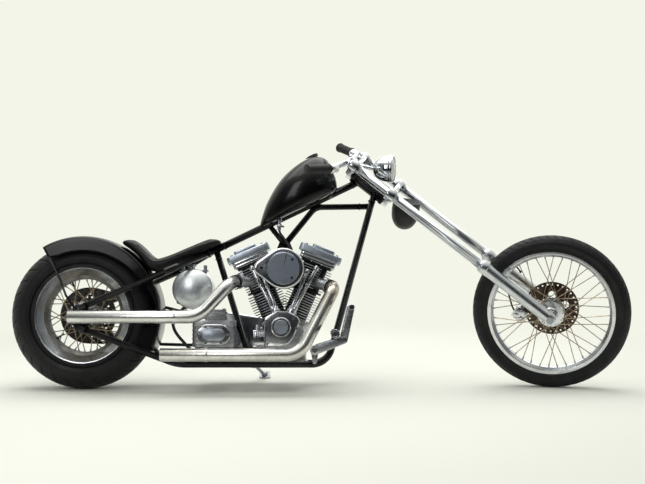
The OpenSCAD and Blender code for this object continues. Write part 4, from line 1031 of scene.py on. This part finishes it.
def barrels():
    fin = Solid().plate(round_rect(134, 128, 40, 6), -1.7, 1.7)
    head_fin = Solid().plate(round_rect(140, 112, 18, 5), -1.9, 1.9)
    for side, label in ((-1, "rear"), (1, "front")):
        place = bank(side)
        core = Solid().spin([(0, 112), (53, 112), (53, 250), (0, 250)], steps=64)
        core.plate(round_rect(112, 92, 20), 249, 368).plate(round_rect(142, 114, 20), 364, 374)
        core.plate(round_rect(142, 118, 26), 246, 254)
        core.piece(label + "_barrel_and_head_core", place, "frame", DARK, "cast_aluminium",
                   "cylinders" if side > 0 else (), bevel=1.0)
        set_at(label + "_barrel_fins", fin, [((0, 0, 117 + 11.6 * k), UP, (1 + 0.014 * min(k, 6), 1, 1))
                                             for k in range(11)], place, "frame", CAST)
        set_at(label + "_head_fins", head_fin, [((0, 0, 263 + 11.4 * k), UP, (0.9 + 0.012 * k, 0.94 + 0.006 * k, 1))
                                                for k in range(9)], place, "frame", CAST)
        set_at(label + "_head_bolts", SOCKET_BOLT, [((x, y, 254), DOWN, 5) for x in (-60, 60) for y in (-50, 50)],
               place, "frame", ZINC)
        plug = Solid().rod((0, 44, 306), (0, 66, 318), 9, steps=6).rod((0, 62, 316), (0, 104, 338), 6.5, 5, steps=16)
        plug.piece(label + "_spark_plug", place, "frame", BLACK_FITTING, "black_rubber", bevel=0.5)
    ports = Solid()
    lean, up = math.radians(BANK), 300
    for side, far in ((-1, (686, -90, 474)), (1, (1086, -94, 450))):
        near = Vector((CRANK.x + side * (up * math.sin(lean) + 20 * math.cos(lean)), -30,
                       CRANK.z + up * math.cos(lean) + 40 * math.sin(lean) - 30))
        ports.rod(near, far, 26, 25, steps=40)
        ports.rod(Vector(far) + unit(near - Vector(far)) * 12, far, 33, steps=40)
    ports.piece("exhaust_port_stubs", PARKED, "frame", CAST, "cast_aluminium", bevel=1.2)


def rocker_boxes():
    lower, upper, seams = Solid(), Solid(), Solid()
    bolts, cap_bolts = [], []
    for side in (-1, 1):
        lean = Matrix.Translation(CRANK) @ turn("Y", side * BANK)
        lower.plate(round_rect(166, 136, 14), 374, 386.5, lean).plate(round_rect(166, 136, 14), 388.5, 401, lean)
        seams.plate(round_rect(162, 132, 13), 385, 390, lean).plate(round_rect(160, 130, 14), 400, 403.5, lean)
        upper.plate(round_rect(196, 144, 18), 402, 434, lean)
        upper.plate(round_rect(104, 128, 12, x=side * 6), 430, 449, lean)
        for x in (-72, 72):
            for y in (-52, 52):
                bolts.append((lean @ Vector((x, y, 434)), lean.to_3x3() @ Vector(UP), 6))
        for x in (-72, -24, 24, 72):
            cap_bolts += [(lean @ Vector((x, y, 375)), lean.to_3x3() @ Vector(DOWN), 4) for y in (-60, 60)]
    lower.piece("rocker_box_bases", PARKED, "frame", POLISHED, "polished_aluminium", bevel=1.6)
    seams.piece("rocker_box_gaskets", PARKED, "frame", DARK, "dark_steel")
    upper.piece("rocker_box_covers", PARKED, "frame", BRUSHED, "polished_aluminium", "rocker_boxes",
                bevel=4, rounds=3)
    set_at("rocker_cover_bolts", SOCKET_BOLT, bolts, PARKED, "frame", ZINC)
    set_at("rocker_base_bolts", HEX_BOLT, cap_bolts, PARKED, "frame", ZINC)


def pushrods():
    tubes, blocks, bolts = Solid(), Solid(), []
    for side in (-1, 1):
        for low, high, y0, y1, z0, z1 in ((43, 146, -100, -66, 343, 541), (30, 106, -104, -68, 348, 525)):
            p, q = Vector((CRANK.x + side * low, y0, z0)), Vector((CRANK.x + side * high, y1, z1))
            along = q - p
            at = lambda t: p + along * t
            tubes.rod(p, at(0.60), 8.2, steps=28).rod(at(0.56), q, 9, steps=28)
            tubes.rod(at(0.02), at(0.10), 12, 11, steps=28).rod(at(0.54), at(0.585), 10.6, steps=28)
            tubes.rod(at(0.90), at(0.98), 11.5, 13, steps=28)
        foot, top = Vector((CRANK.x + side * 26, -102, 324)), Vector((CRANK.x + side * 40, -100, 356))
        blocks.rod(foot, top, 21, 19, steps=32)
        blocks.rod(foot + (top - foot) * 0.45, foot + (top - foot) * 0.62, 25, steps=32)
        bolts += [(foot + (top - foot) * 0.62 + Vector((dx, dy, 0)), top - foot, 3.6)
                  for dx, dy in ((-19, -8), (19, -8), (0, -21))]
    tubes.piece("pushrod_covers", PARKED, "frame", POLISHED, "chrome_plate", "pushrod_tubes", bevel=0.7)
    blocks.piece("tappet_blocks", PARKED, "frame", POLISHED, "polished_aluminium", bevel=1.2)
    set_at("tappet_block_bolts", HEX_BOLT, bolts, PARKED, "frame", ZINC)


def air_cleaner():
    outline = link_outline((CRANK.x + 1, 526), 89, (794, 528), 33, 28)
    Solid().plate(outline, 150, 206, SIDE).piece("air_cleaner_cover", PARKED, "frame", POLISHED,
                                                 "polished_aluminium", "air_cleaner", bevel=9, rounds=5)
    inner = link_outline((CRANK.x + 1, 526), 84, (794, 528), 28, 24)
    Solid().plate(inner, 138, 152, SIDE).piece("air_cleaner_back_plate", PARKED, "frame", DARK,
                                               "dark_steel", bevel=1)
    disc = PARKED @ shift(CRANK.x + 1, -204, 526) @ turn("X", 90)
    Solid().spin([(0, 0), (70.5, 0), (70.5, 3), (69, 4.2), (68, 2.6), (67, 2.6), (67, 7), (65.8, 8.4), (0, 8.6)],
                 disc, 96).piece("air_cleaner_brushed_disc", Matrix(), "frame", BRUSHED_DISC, "satin_aluminium")
    spots = [((927, -212.4, 564), (0, -1, 0), 5), ((925, -212.4, 485), (0, -1, 0), 5),
             ((794, -205.6, 528), (0, -1, 0), 5.5)]
    set_at("air_cleaner_screws", SOCKET_BOLT, spots, PARKED, "frame", DARK)


def carburettor():
    fine_copy("carburettor", "frame", CAST)
    body = Solid().plate(round_rect(70, 66, 12), 452, 482, shift(CRANK.x, -82, 0))
    body.plate(round_rect(60, 56, 10), 520, 540, shift(CRANK.x, -86, 0))
    body.rod((CRANK.x, -82, 440), (CRANK.x, -82, 454), 14)
    body.piece("carburettor_bowl_and_cap", PARKED, "frame", CAST, "cast_aluminium", bevel=2)


def gear_side():
    pump = Solid().block((757, -136, 190), (803, -76, 256))
    for k in range(6):
        pump.block((757 + 8 * k, -141, 192), (761.5 + 8 * k, -134, 254))
    pump.block((755, -140, 186), (805, -78, 192)).block((755, -140, 252), (805, -78, 259))
    pump.rod((772, -108, 256), (772, -108, 282), 8, steps=24).rod((772, -108, 262), (772, -108, 270), 11, steps=6)
    pump.rod((790, -112, 256), (790, -112, 274), 6, steps=24)
    pump.piece("oil_pump_body", PARKED, "frame", POLISHED, "polished_aluminium", "oil_pump", bevel=1)


def gearbox():
    box = Solid().plate(round_rect(188, 208, 24), 186, 302, shift(580, 0, 0))
    for z in (200, 219, 238, 257, 276):
        box.plate(round_rect(194, 214, 26), z, z + 5, shift(580, 0, 0))
    box.plate(round_rect(90, 90, 12), 298, 332, shift(588, -50, 0))
    box.plate(round_rect(96, 96, 12), 332, 340, shift(588, -50, 0))
    box.plate(round_rect(84, 84, 12), 340, 351, shift(588, -50, 0))
    box.block((480, -108, 118), (670, 108, 126))
    for x in (510, 650):
        for y in (-70, 70):
            box.rod((x, y, 124), (x, y, 190), 14, steps=24)
    box.rod((600, 100, 240), (600, 134, 240), 22, steps=40).rod((600, 110, 240), (600, 118, 240), 46, steps=48)
    box.piece("gearbox_casting", PARKED, "frame", CAST, "cast_aluminium", "transmission", bevel=1.8)
    end = Solid().plate(link_outline((553, 240), 46, (612, 240), 46, 20), 104, 134, SIDE)
    end.piece("gearbox_end_cover", PARKED, "frame", POLISHED, "polished_aluminium", bevel=7, rounds=4)
    Solid().plate(link_outline((560, 240), 27, (606, 240), 27, 18), 133, 138, SIDE).piece(
        "gearbox_end_cover_boss", PARKED, "frame", BRUSHED, "satin_aluminium", bevel=2)
    spots = [((582 + x, -133.5, 240 + z), (0, -1, 0), 5) for x, z in (
        (-62, 0), (62, 0), (-34, 34), (34, 34), (-34, -34), (34, -34))]
    spots += [((588 + x, -50 + y, 351), (0, 0, 1), 4.5) for x in (-34, 34) for y in (-34, 34)]
    spots += [((x, y, 126), (0, 0, 1), 7) for x in (490, 660) for y in (-96, 96)]
    set_at("gearbox_bolts", HEX_BOLT, spots, PARKED, "frame", ZINC)


def primary():
    p, q = (CRANK.x, CRANK.z + 4), (GEARBOX.x, GEARBOX.z)
    cover = Solid().plate(link_outline(p, 84, q, 104, 30), -186, -134, SIDE)
    cover.piece("primary_case", PARKED, "frame", POLISHED, "polished_aluminium", "primary_cover", bevel=10, rounds=5)
    Solid().plate(link_outline(p, 70, q, 88, 26), -193, -184, SIDE).piece(
        "primary_raised_panel", PARKED, "frame", POLISHED, "polished_aluminium", bevel=3, rounds=3)
    derby = PARKED @ shift(GEARBOX.x, 190, GEARBOX.z) @ turn("X", -90)
    Solid().spin([(0, 0), (79, 0), (79, 5), (76, 9), (70, 9.5), (68, 7.5), (52, 7.5), (50, 9.5), (0, 10)],
                 derby, 80) \
        .piece("primary_derby_cover", Matrix(), "frame", POLISHED, "polished_aluminium")
    spots = ring_spots(5, 61, 7.5, UP, 4.5, 18)
    set_at("derby_cover_bolts", SOCKET_BOLT, spots, derby, "frame", ZINC)
    around = link_outline(p, 77, q, 96, 4)
    set_at("primary_case_bolts", SOCKET_BOLT, [((x, 184.5, z), (0, 1, 0), 4.5) for x, z in around], PARKED, "frame",
           ZINC)


for build in (crankcase, cam_cover, barrels, rocker_boxes, pushrods, air_cleaner, carburettor, gear_side, gearbox,
              primary):
    build()

# ---- Exhaust pipes, open at their tails


def pipe(name, stands_for, route, bends, material):
    path = fillet_path(route, bends, 3.0)
    tail = path[-1]
    outer = [(p, 28.5) for p in path[:-1]] + [(tail + Vector((0.6, 0, 0)), 28.5), (tail, 28.1)]
    inner = [(tail, 26.4), (tail + Vector((0.6, 0, 0)), 26.0), (tail + Vector((180, 0, 0)), 26.0)]
    both, sides = outer + inner, 44
    rings, side = [], None
    for i, (p, r) in enumerate(both):
        along = Vector((-1, 0, 0))
        if i < len(path) - 1:
            along = unit(path[i + 1] - path[max(i - 1, 0)])
        side = along.orthogonal() if side is None else side - along * side.dot(along)
        side.normalize()
        other = along.cross(side)
        rings.append([p + r * (math.cos(2 * math.pi * k / sides) * side + math.sin(2 * math.pi * k / sides) * other)
                      for k in range(sides)])
    Solid().grid(rings).piece(name, PARKED, "frame", material, "brushed_stainless", stands_for, sharp=60)


REAR_ROUTE = [(676, -96, 470), (648, -178, 455), (524, -215, 317), (-34, -215, 317)]
FRONT_ROUTE = [(1093, -104, 448), (1106, -158, 440), (958, -226, 155), (364, -226, 155)]
pipe("rear_exhaust_pipe", "rear_exhaust", REAR_ROUTE, [0, 60, 110, 0], STAINLESS)
pipe("front_exhaust_pipe", "front_exhaust", FRONT_ROUTE, [0, 42, 95, 0], FRONT_PIPE)


def pipe_fittings():
    clamps = Solid()
    a, b = Vector(REAR_ROUTE[0]), Vector(REAR_ROUTE[1])
    clamps.rod(a - unit(b - a) * 10, a + unit(b - a) * 16, 32, steps=44)
    a, b = Vector(FRONT_ROUTE[0]), Vector(FRONT_ROUTE[1])
    clamps.rod(a - unit(b - a) * 8, a + unit(b - a) * 10, 32, steps=44)
    clamps.piece("exhaust_port_clamps", PARKED, "frame", DARK, "dark_steel", bevel=1)
    straps = Solid()
    for x, y, z in ((420, -215, 317), (560, -226, 155)):
        straps.spin([(28.6, -7), (30.4, -7), (30.4, 7), (28.6, 7)], shift(x, y, z) @ turn("Y", 90), 44, closed=True)
    straps.block((552, -200, 130), (568, -112, 134)).block((412, -190, 309), (428, -140, 313))
    straps.piece("exhaust_straps", PARKED, "frame", STAINLESS, "brushed_stainless", bevel=0.5)


pipe_fittings()

# ---- Foot controls and pegs, alike on both sides


def controls():
    pivot, elbow, toe = (1023, 173), (1150, 218), (1181, 359)
    for side, node_name, label in ((-1, "brake_pedal", "brake"), (1, "shift_lever", "shift")):
        place = PARKED @ (Matrix() if side < 0 else Matrix.Scale(-1, 4, (0, 1, 0)))
        arm = Solid().plate(link_outline(pivot, 20, elbow, 16), 170, 182, SIDE)
        arm.plate(link_outline(elbow, 16, toe, 15), 170.4, 181.6, SIDE)
        arm.rod((1023, -126, 173), (1023, -190, 173), 15, steps=36).plate(
            link_outline(pivot, 18, (1023, 122), 9), 126, 136, SIDE)
        arm.piece(label + "_lever_forging", place, "frame", SATIN, "polished_aluminium", node_name, bevel=2.4,
                  rounds=3)
        grip = [(0, -174), (8, -174), (8, -184)]
        y = -186
        while y > -246:
            grip += [(12, y), (12, y - 5), (9.6, y - 6), (9.6, y - 7.5)]
            y -= 8.5
        grip += [(12.4, y), (12.4, y - 3), (10.5, y - 5), (0, y - 5)]
        Solid().spin([(r, -v) for r, v in grip], shift(toe[0], 0, toe[1]) @ SIDE, 28).piece(
            label + "_toe_rubber", place, "frame", RUBBER, "black_rubber")
        Solid().spin([(0, 252), (9, 252), (13, 253), (13, 257), (11.5, 258.4), (0, 258.4)],
                     shift(toe[0], 0, toe[1]) @ SIDE, 32).piece(
            label + "_toe_peg_end", place, "frame", POLISHED, "polished_aluminium")
        set_at(label + "_lever_screws", SLOT_SCREW, [((1023, -190, 173), (0, -1, 0), 9),
                                                     ((1150, -182, 218), (0, -1, 0), 6)], place, "frame", ZINC)
        outline = [(0, 112), (14, 112), (14, 188), (17, 190), (19, 194)]
        z = 196
        while z < 272:
            outline += [(20, z), (20, z + 5), (17.4, z + 6.2), (17.4, z + 8)]
            z += 9.2
        peg = shift(1112, 0, 245) @ SIDE
        Solid().spin(outline + [(18, 275), (0, 275)], peg, 36).piece(
            label + "_side_peg_rubber", place, "frame", RUBBER, "black_rubber", "foot_pegs" if side < 0 else ())
        Solid().spin([(0, 274), (20, 274), (20, 281), (18, 284.4), (12, 285), (11, 283.5), (0, 283.5)],
                     peg, 36).piece(
            label + "_side_peg_end", place, "frame", POLISHED, "polished_aluminium")


controls()

# ---- Fork: yokes, tubes, sliders, bar and lamps, in the steering head's axes

fine_copy("upper_tree", "fork", POLISHED, 1.2)
fine_copy("lower_tree", "fork", POLISHED, 1.2)
fine_copy("fork_tubes", "fork", CHROME)
fine_copy("handlebar", "fork", CHROME)


def sliders():
    both, caps, bolts = Solid(), Solid(), []
    for side in (-1, 1):
        leg = shift(OFFSET, side * LEG_Y, -FORK_LEN)
        both.spin([(0, -20), (13, -18), (22, -12), (27, -3), (28.5, 8), (28.5, 20), (27.4, 30), (27.4, 330),
                   (28.5, 345),
                   (28.5, 348), (31, 351), (31, 376), (29, 380), (23, 380), (22.5, 374), (20.6, 374), (20.6, 340),
                   (0, 340)], leg, 56)
        both.rod((OFFSET, side * LEG_Y - 24, -FORK_LEN), (OFFSET, side * LEG_Y + 24, -FORK_LEN), 24, steps=44)
        caps.spin([(0, 0), (22.5, 0), (22.5, 4), (20, 7), (12, 8.5), (0, 9)],
                  shift(OFFSET, side * LEG_Y, UPPER_Z + TREE_T + 5), 40)
        caps.spin([(20.6, 376), (25.5, 376), (25.5, 384), (23, 387), (20.6, 387)], leg, 40, closed=True)
        bolts += [((OFFSET - 31, side * LEG_Y, z), (-1, 0, 0), 5) for z in (UPPER_Z + 11, LOWER_Z + 11)]
        bolts += [((OFFSET - 26, side * LEG_Y, -FORK_LEN + z), (-1, 0, 0), 4.5) for z in (-9, 9)]
        bolts += [((OFFSET + 27, side * LEG_Y, -FORK_LEN + 34), (1, 0, 0), 4)]
    both.piece("fork_slider_castings", FORK, "fork", SLIDER_FINISH, "satin_aluminium", "fork_sliders", bevel=0.8)
    caps.piece("fork_caps_and_dust_seals", FORK, "fork", CHROME, "chrome_plate")
    set_at("fork_pinch_bolts", SOCKET_BOLT, bolts, FORK, "fork", ZINC)
    nut = Solid().rod((0, 0, UPPER_Z + TREE_T), (0, 0, UPPER_Z + TREE_T + 12), 19, 17, steps=6)
    nut.piece("steering_stem_nut", FORK, "fork", CHROME, "chrome_plate", bevel=1)


sliders()

BAR = [to_head(*p) for p in ((1067, -350, 1031), (1142, -255, 1020), (1190, -140, 1029), (1202, 0, 1035),
                             (1190, 140, 1029), (1142, 255, 1020), (1067, 350, 1031))]


def grips():
    for label, end, inner in (("right", BAR[0], BAR[1]), ("left", BAR[6], BAR[5])):
        along = unit(inner - end)
        outline = [(0, -7), (19, -7), (22.5, -5), (22.5, -1), (19.5, 1)]
        z = 4
        while z < 108:
            outline += [(19.6, z), (20, z + 1.5), (19.6, z + 3), (18.4, z + 4), (18.4, z + 5)]
            z += 6.2
        outline += [(21.5, 111), (22.5, 113), (22.5, 116), (20, 118), (12.75, 118)]
        place = Matrix.Translation(end) @ along.to_track_quat("Z", "Y").to_matrix().to_4x4()
        Solid().spin(outline + [(12.75, 0), (0, 0)], place, 36).piece(
            label + "_grip_rubber", FORK, "fork", RUBBER, "black_rubber", "grips" if label == "right" else ())
        clamp = Solid().spin([(12.8, 122), (19, 122), (20, 124), (20, 140), (18, 143), (18, 160), (15, 162),
                              (12.8, 162)],
                             place, 32, closed=True)
        clamp.piece(label + "_lever_clamp", FORK, "fork", POLISHED, "polished_aluminium", bevel=0.8)


grips()
LAMP = to_head(1366, 0, 982)


def headlight():
    place = Matrix.Translation(LAMP) @ turn("Y", 90 + RAKE)
    bowl = [(0, -82), (9, -81.6), (18, -80), (30, -74.5), (40, -66), (48, -54), (54.5, -40), (58.5, -26),
            (60.3, -15)]
    inner = [(58, -12), (55, -28), (49, -42), (40, -53), (28, -62), (14, -67), (0, -68)]
    Solid().spin(bowl + [(60.3, -12)] + inner, place, 72).piece(
        "headlight_bowl", FORK, "fork", CHROME, "chrome_plate", "headlight")
    bezel = [(58.5, -14), (61.4, -14), (62.5, -12), (62.5, -2), (61.2, 0), (62.3, 1.6), (62.3, 8), (60.5, 11.6),
             (57, 12.6), (55.8, 11), (57, 6), (58.5, 2)]
    Solid().spin(bezel, place, 72, closed=True).piece("headlight_bezel", FORK, "fork", CHROME, "chrome_plate")
    glass = [(0, 17.8), (20, 16.6), (40, 13), (57, 7.6), (57, 5.2), (40, 10.6), (20, 14), (0, 15.2)]
    Solid().spin(glass, place, 72).piece("headlight_lens", FORK, "fork", GLASS, "chrome_plate")
    mount = Solid().tube([LAMP - Vector((math.sin(math.radians(90 + RAKE)), 0,
                                         math.cos(math.radians(90 + RAKE)))) * 78,
                          (46, 0, UPPER_Z + 13)], 8, 20)
    mount.rod(LAMP + Vector((0, -8, 0)), LAMP + Vector((0, 8, 0)), 6)
    mount.piece("headlight_mount", FORK, "fork", CHROME, "chrome_plate", bevel=0.5)
    Solid().spin([(0, -66), (6, -64), (6, -40), (4, -34), (0, -32)], place, 20).piece(
        "headlight_bulb", FORK, "fork", ZINC, "chrome_plate")


headlight()


def horn():
    place = Matrix.Translation(to_head(1434, 0, 832)) @ turn("Y", RAKE + 9)
    Solid().spin([(0, -124), (12, -123), (24, -119), (36, -111), (46, -99), (54, -84), (59, -67),
                  (61, -50), (62, -34),
                  (61, -12), (61.5, -3), (63, -1), (63, 4), (61, 5), (57, 5), (55, 1), (0, 0)], place, 64).piece(
        "horn_bowl", FORK, "fork", BLACK_FITTING, "gloss_black_paint", "horn", sharp=40)
    face = Solid()
    for r in (8, 16.5, 25, 33.5, 42, 50.5):
        face.spin([(r - 2.6, 0.5), (r + 2.6, 0.5), (r + 1.6, 4.2), (r - 1.6, 4.2)], place, 48, closed=True)
    face.piece("horn_grille_rings", FORK, "fork", BLACK_FITTING, "gloss_black_paint")
    Solid().rod((28, 0, LOWER_Z - 37), (28, 0, LOWER_Z + 3), 8, steps=24).rod(
        (28, 0, LOWER_Z - 18), (28, 0, LOWER_Z - 10), 12, steps=6).piece("horn_mount", FORK, "fork", ZINC,
                                                                         "dark_steel", bevel=0.6)
    set_at("horn_terminals", HEX_BOLT, [((18, y, -95), (0.3, y, -1), 4) for y in (-16, 16)], FORK @ place, "fork",
           ZINC)


horn()


def front_caliper():
    at = shift(OFFSET, 0, -FORK_LEN)
    body = Solid()
    for y0, y1 in ((DISC_Y - 23, DISC_Y - 5), (DISC_Y + 5, DISC_Y + 24)):
        body.plate([(-138, 74), (-126, 62), (-92, 62), (-82, 72), (-82, 112), (-92, 120), (-124, 120), (-138, 108)],
                   -y1, -y0, at @ SIDE)
    body.block((-138, DISC_Y - 22, 114), (-84, DISC_Y + 23, 120.4), at)
    body.block((-92, DISC_Y + 14, 70), (-18, DISC_Y + 26, 110), at)
    body.block((-40, DISC_Y + 14, 76), (-16, DISC_Y + 48, 104), at)
    for x, z in ((-122, 78), (-122, 104), (-97, 91)):
        body.rod(at @ Vector((x, DISC_Y + 22, z)), at @ Vector((x, DISC_Y + 29, z)), 12, steps=32)
        body.rod(at @ Vector((x, DISC_Y - 21, z)), at @ Vector((x, DISC_Y - 26, z)), 12, steps=32)
    body.piece("front_caliper_body", FORK, "fork", POLISHED, "cast_aluminium", "front_caliper", bevel=2)
    spots = [((x, DISC_Y + 26, z), (0, 1, 0), 5) for x, z in ((-80, 80), (-80, 100), (-50, 90))]
    spots += [((-96, y, 120), (0, 0, 1), 4) for y in (DISC_Y - 14, DISC_Y + 14)]
    set_at("front_caliper_bolts", SOCKET_BOLT, spots, FORK @ at, "fork", ZINC)


front_caliper()


def rear_caliper():
    body = Solid()
    for y0, y1 in ((96, 108), (120, 127)):
        body.plate([(62, 304), (70, 296), (96, 296), (102, 304), (102, 346), (94, 354), (70, 354), (62, 346)], -y1,
                   -y0, SIDE)
    body.block((94, 97, 296), (102, 126, 354)).block((30, 122, 316), (70, 129, 334))
    body.piece("rear_caliper_body", PARKED, "frame", CAST, "cast_aluminium", "rear_caliper", bevel=1.6)
    set_at("rear_caliper_bolts", SOCKET_BOLT, [((40, 129, 325), (0, 1, 0), 5), ((82, 127, 310), (0, 1, 0), 5),
                                               ((82, 127, 340), (0, 1, 0), 5)], PARKED, "frame", ZINC)


rear_caliper()

# ---- Hoses, each held at both ends


def hose(name, route, steps, radius, place, body, stands_for):
    points = [place @ p for p in smooth_route(route, steps)]
    curve = bpy.data.curves.new(name, "CURVE")
    curve.dimensions, curve.bevel_depth, curve.bevel_resolution = "3D", radius * MM, 5
    curve.use_fill_caps = True
    line = curve.splines.new("POLY")
    line.points.add(len(points) - 1)
    for spot, p in zip(line.points, points):
        spot.co = (*p, 1.0)
    curve.materials.append(RUBBER)
    obj = new_object(name, curve)
    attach(obj, body)
    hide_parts(stands_for)


hose("fuel_hose_run", [
    (864, -42, 706), (868, -46, 690), (884, -58, 668), (906, -72, 634), (918, -82, 600), (912, -90, 566),
    (900, -92, 522)], 3, 5, PARKED, "frame", "fuel_hose")
hose("oil_hose_run", [
    (452, -62, 364), (436, -84, 346), (412, -108, 318), (404, -116, 290), (416, -118, 252), (448, -117, 212),
    (490, -114, 172), (560, -108, 152), (650, -104, 148), (720, -106, 156), (768, -108, 190)], 3, 7, PARKED,
    "frame", "oil_hose")
hose("brake_hose_run", [
    (-60, 84, -866), (-54, 98, -844), (-24, 110, -800), (16, 112, -740), (22, 112, -640), (22, 110, -520),
    (22, 106, -420), (22, 104, -300), (22, 100, -200), (24, 92, -140), (28, 84, -107)], 4, 4, FORK, "fork",
    "brake_hose")


# ---- Studio: pale floor and sweep, soft light from above, and a grey room behind the camera for the metal to show

SWEEP, ROOM, GAP, REFLECTED_FLOOR_SHADE = "#f3f5e8", "#77797c", "#1b1c1e", "#1c1d1f"
FLOOR_R = 3.3

def studio():
    world = bpy.data.worlds.new("studio")
    bpy.context.scene.world = world
    world.use_nodes = True
    tree = world.node_tree
    tree.nodes.clear()
    seen = node(tree, "ShaderNodeLightPath")
    bare = node(tree, "ShaderNodeBackground", {"Color": linear(SWEEP), "Strength": 1.0})
    where = node(tree, "ShaderNodeTexCoord")
    parts = node(tree, "ShaderNodeSeparateXYZ", {0: where.outputs["Generated"]})
    # Towards the camera's side and low down the room is dark; overhead and behind the machine it is bright
    front = node(tree, "ShaderNodeMapRange", {"Value": parts.outputs["Y"], "From Min": 0.30, "From Max": -0.35},
                 interpolation_type="SMOOTHSTEP")
    low = node(tree, "ShaderNodeMapRange", {"Value": parts.outputs["Z"], "From Min": 0.85, "From Max": 0.45},
               interpolation_type="SMOOTHSTEP")
    shade = node(tree, "ShaderNodeMath", {0: front, 1: low}, operation="MULTIPLY")
    tone = node(tree, "ShaderNodeMix", {"Factor": shade, 6: linear("#f3f5ea"), 7: linear(ROOM)},
                data_type="RGBA")
    # A black gap straight behind the camera draws the dark line down each plated tube
    level = node(tree, "ShaderNodeMath", {0: parts.outputs["Z"]}, operation="ABSOLUTE")
    beside = node(tree, "ShaderNodeMapRange", {"Value": level, "From Min": 0.42, "From Max": 0.26},
                  interpolation_type="SMOOTHSTEP")
    behind = node(tree, "ShaderNodeMapRange", {"Value": parts.outputs["Y"], "From Min": -0.55, "From Max": -0.75},
                  interpolation_type="SMOOTHSTEP")
    gap = node(tree, "ShaderNodeMath", {0: beside, 1: behind}, operation="MULTIPLY")
    tone = node(tree, "ShaderNodeMix", {"Factor": gap, 6: tone.outputs[2], 7: linear(GAP)}, data_type="RGBA")
    mirror = node(tree, "ShaderNodeBackground", {"Color": tone.outputs[2], "Strength": 1.0})
    fill = node(tree, "ShaderNodeBackground", {"Color": linear("#f2f3f4"), "Strength": 0.55})
    glossy = node(tree, "ShaderNodeMixShader", {0: seen.outputs["Is Glossy Ray"], 1: fill, 2: mirror})
    clear = node(tree, "ShaderNodeMath", {0: seen.outputs["Is Camera Ray"], 1: seen.outputs["Is Transmission Ray"]},
                 operation="MAXIMUM")
    both = node(tree, "ShaderNodeMixShader", {0: clear, 1: glossy, 2: bare})
    node(tree, "ShaderNodeOutputWorld", {"Surface": both})

    floor_mesh = bpy.data.meshes.new("studio_floor")
    edge = 96
    turns = [2 * math.pi * k / edge for k in range(edge)]
    floor_mesh.from_pydata([(FLOOR_R * math.cos(a), FLOOR_R * math.sin(a), 0) for a in turns], [],
                           [tuple(range(edge))])
    floor = new_object("studio_floor", floor_mesh)
    paper = bpy.data.materials.new("painted_studio_floor")
    paper.use_nodes = True
    tree = paper.node_tree
    tree.nodes.clear()
    matt = node(tree, "ShaderNodeBsdfDiffuse", {"Color": linear("#f1f2e6")})
    seen = node(tree, "ShaderNodeLightPath")
    where = node(tree, "ShaderNodeTexCoord").outputs["Object"]
    away = node(tree, "ShaderNodeVectorMath", {0: where}, operation="LENGTH")
    blend = node(tree, "ShaderNodeMapRange", {"Value": away.outputs["Value"], "From Min": 1.75, "From Max": 3.2},
                 interpolation_type="SMOOTHSTEP")
    glow = node(tree, "ShaderNodeEmission", {"Color": linear(SWEEP), "Strength": 1.0})
    part = node(tree, "ShaderNodeMath", {0: blend, 1: seen.outputs["Is Camera Ray"]}, operation="MULTIPLY")
    # Painted reflection: only in metal and paint does the floor turn dark towards the camera's side, a painted shade
    # seen in their reflections
    deep = node(tree, "ShaderNodeSeparateXYZ", {0: where}).outputs["Y"]
    dark = node(tree, "ShaderNodeMapRange", {"Value": deep, "From Min": -0.7, "From Max": -1.5, "To Max": 0.75},
                interpolation_type="SMOOTHSTEP")
    dim = node(tree, "ShaderNodeMath", {0: dark, 1: seen.outputs["Is Glossy Ray"]}, operation="MULTIPLY")
    black = node(tree, "ShaderNodeBsdfDiffuse", {"Color": linear(REFLECTED_FLOOR_SHADE)})
    matt = node(tree, "ShaderNodeMixShader", {0: dim, 1: matt, 2: black})
    mixed = node(tree, "ShaderNodeMixShader", {0: part, 1: matt, 2: glow})
    node(tree, "ShaderNodeOutputMaterial", {"Surface": mixed})
    floor_mesh.materials.append(paper)

    for name, size, spot, aim, power in (("overhead_softbox", (4.5, 3.2), (-0.2, 0.4, 3.6), (0, 0, 0.3), 108),
                                         ("front_softbox", (1.3, 2.4), (-1.9, -3.8, 2.3), (0, 0, 0.5), 34),
                                         ("back_softbox", (4.0, 1.6), (1.0, 3.8, 2.2), (0, 0, 0.5), 20)):
        lamp = bpy.data.lights.new(name, "AREA")
        lamp.shape, lamp.size, lamp.size_y, lamp.energy = "RECTANGLE", size[0], size[1], power
        made = bpy.data.objects.new(name, lamp)
        bpy.context.scene.collection.objects.link(made)
        made.location = spot
        made.rotation_euler = (Vector(aim) - Vector(spot)).to_track_quat("-Z", "Y").to_euler()


def camera():
    lens = bpy.data.cameras.new("camera")
    lens.lens, lens.sensor_width = 68.07, 36
    made = bpy.data.objects.new("camera", lens)
    bpy.context.scene.collection.objects.link(made)
    made.location = (1.075 - PLAN_X * MM, -5.386 - PLAN_Y * MM, 0.847)
    made.rotation_euler = (math.radians(90 - 2.07), 0, math.radians(0.2))
    bpy.context.scene.camera = made


studio()
camera()
bpy.context.scene.view_settings.view_transform = "Standard"
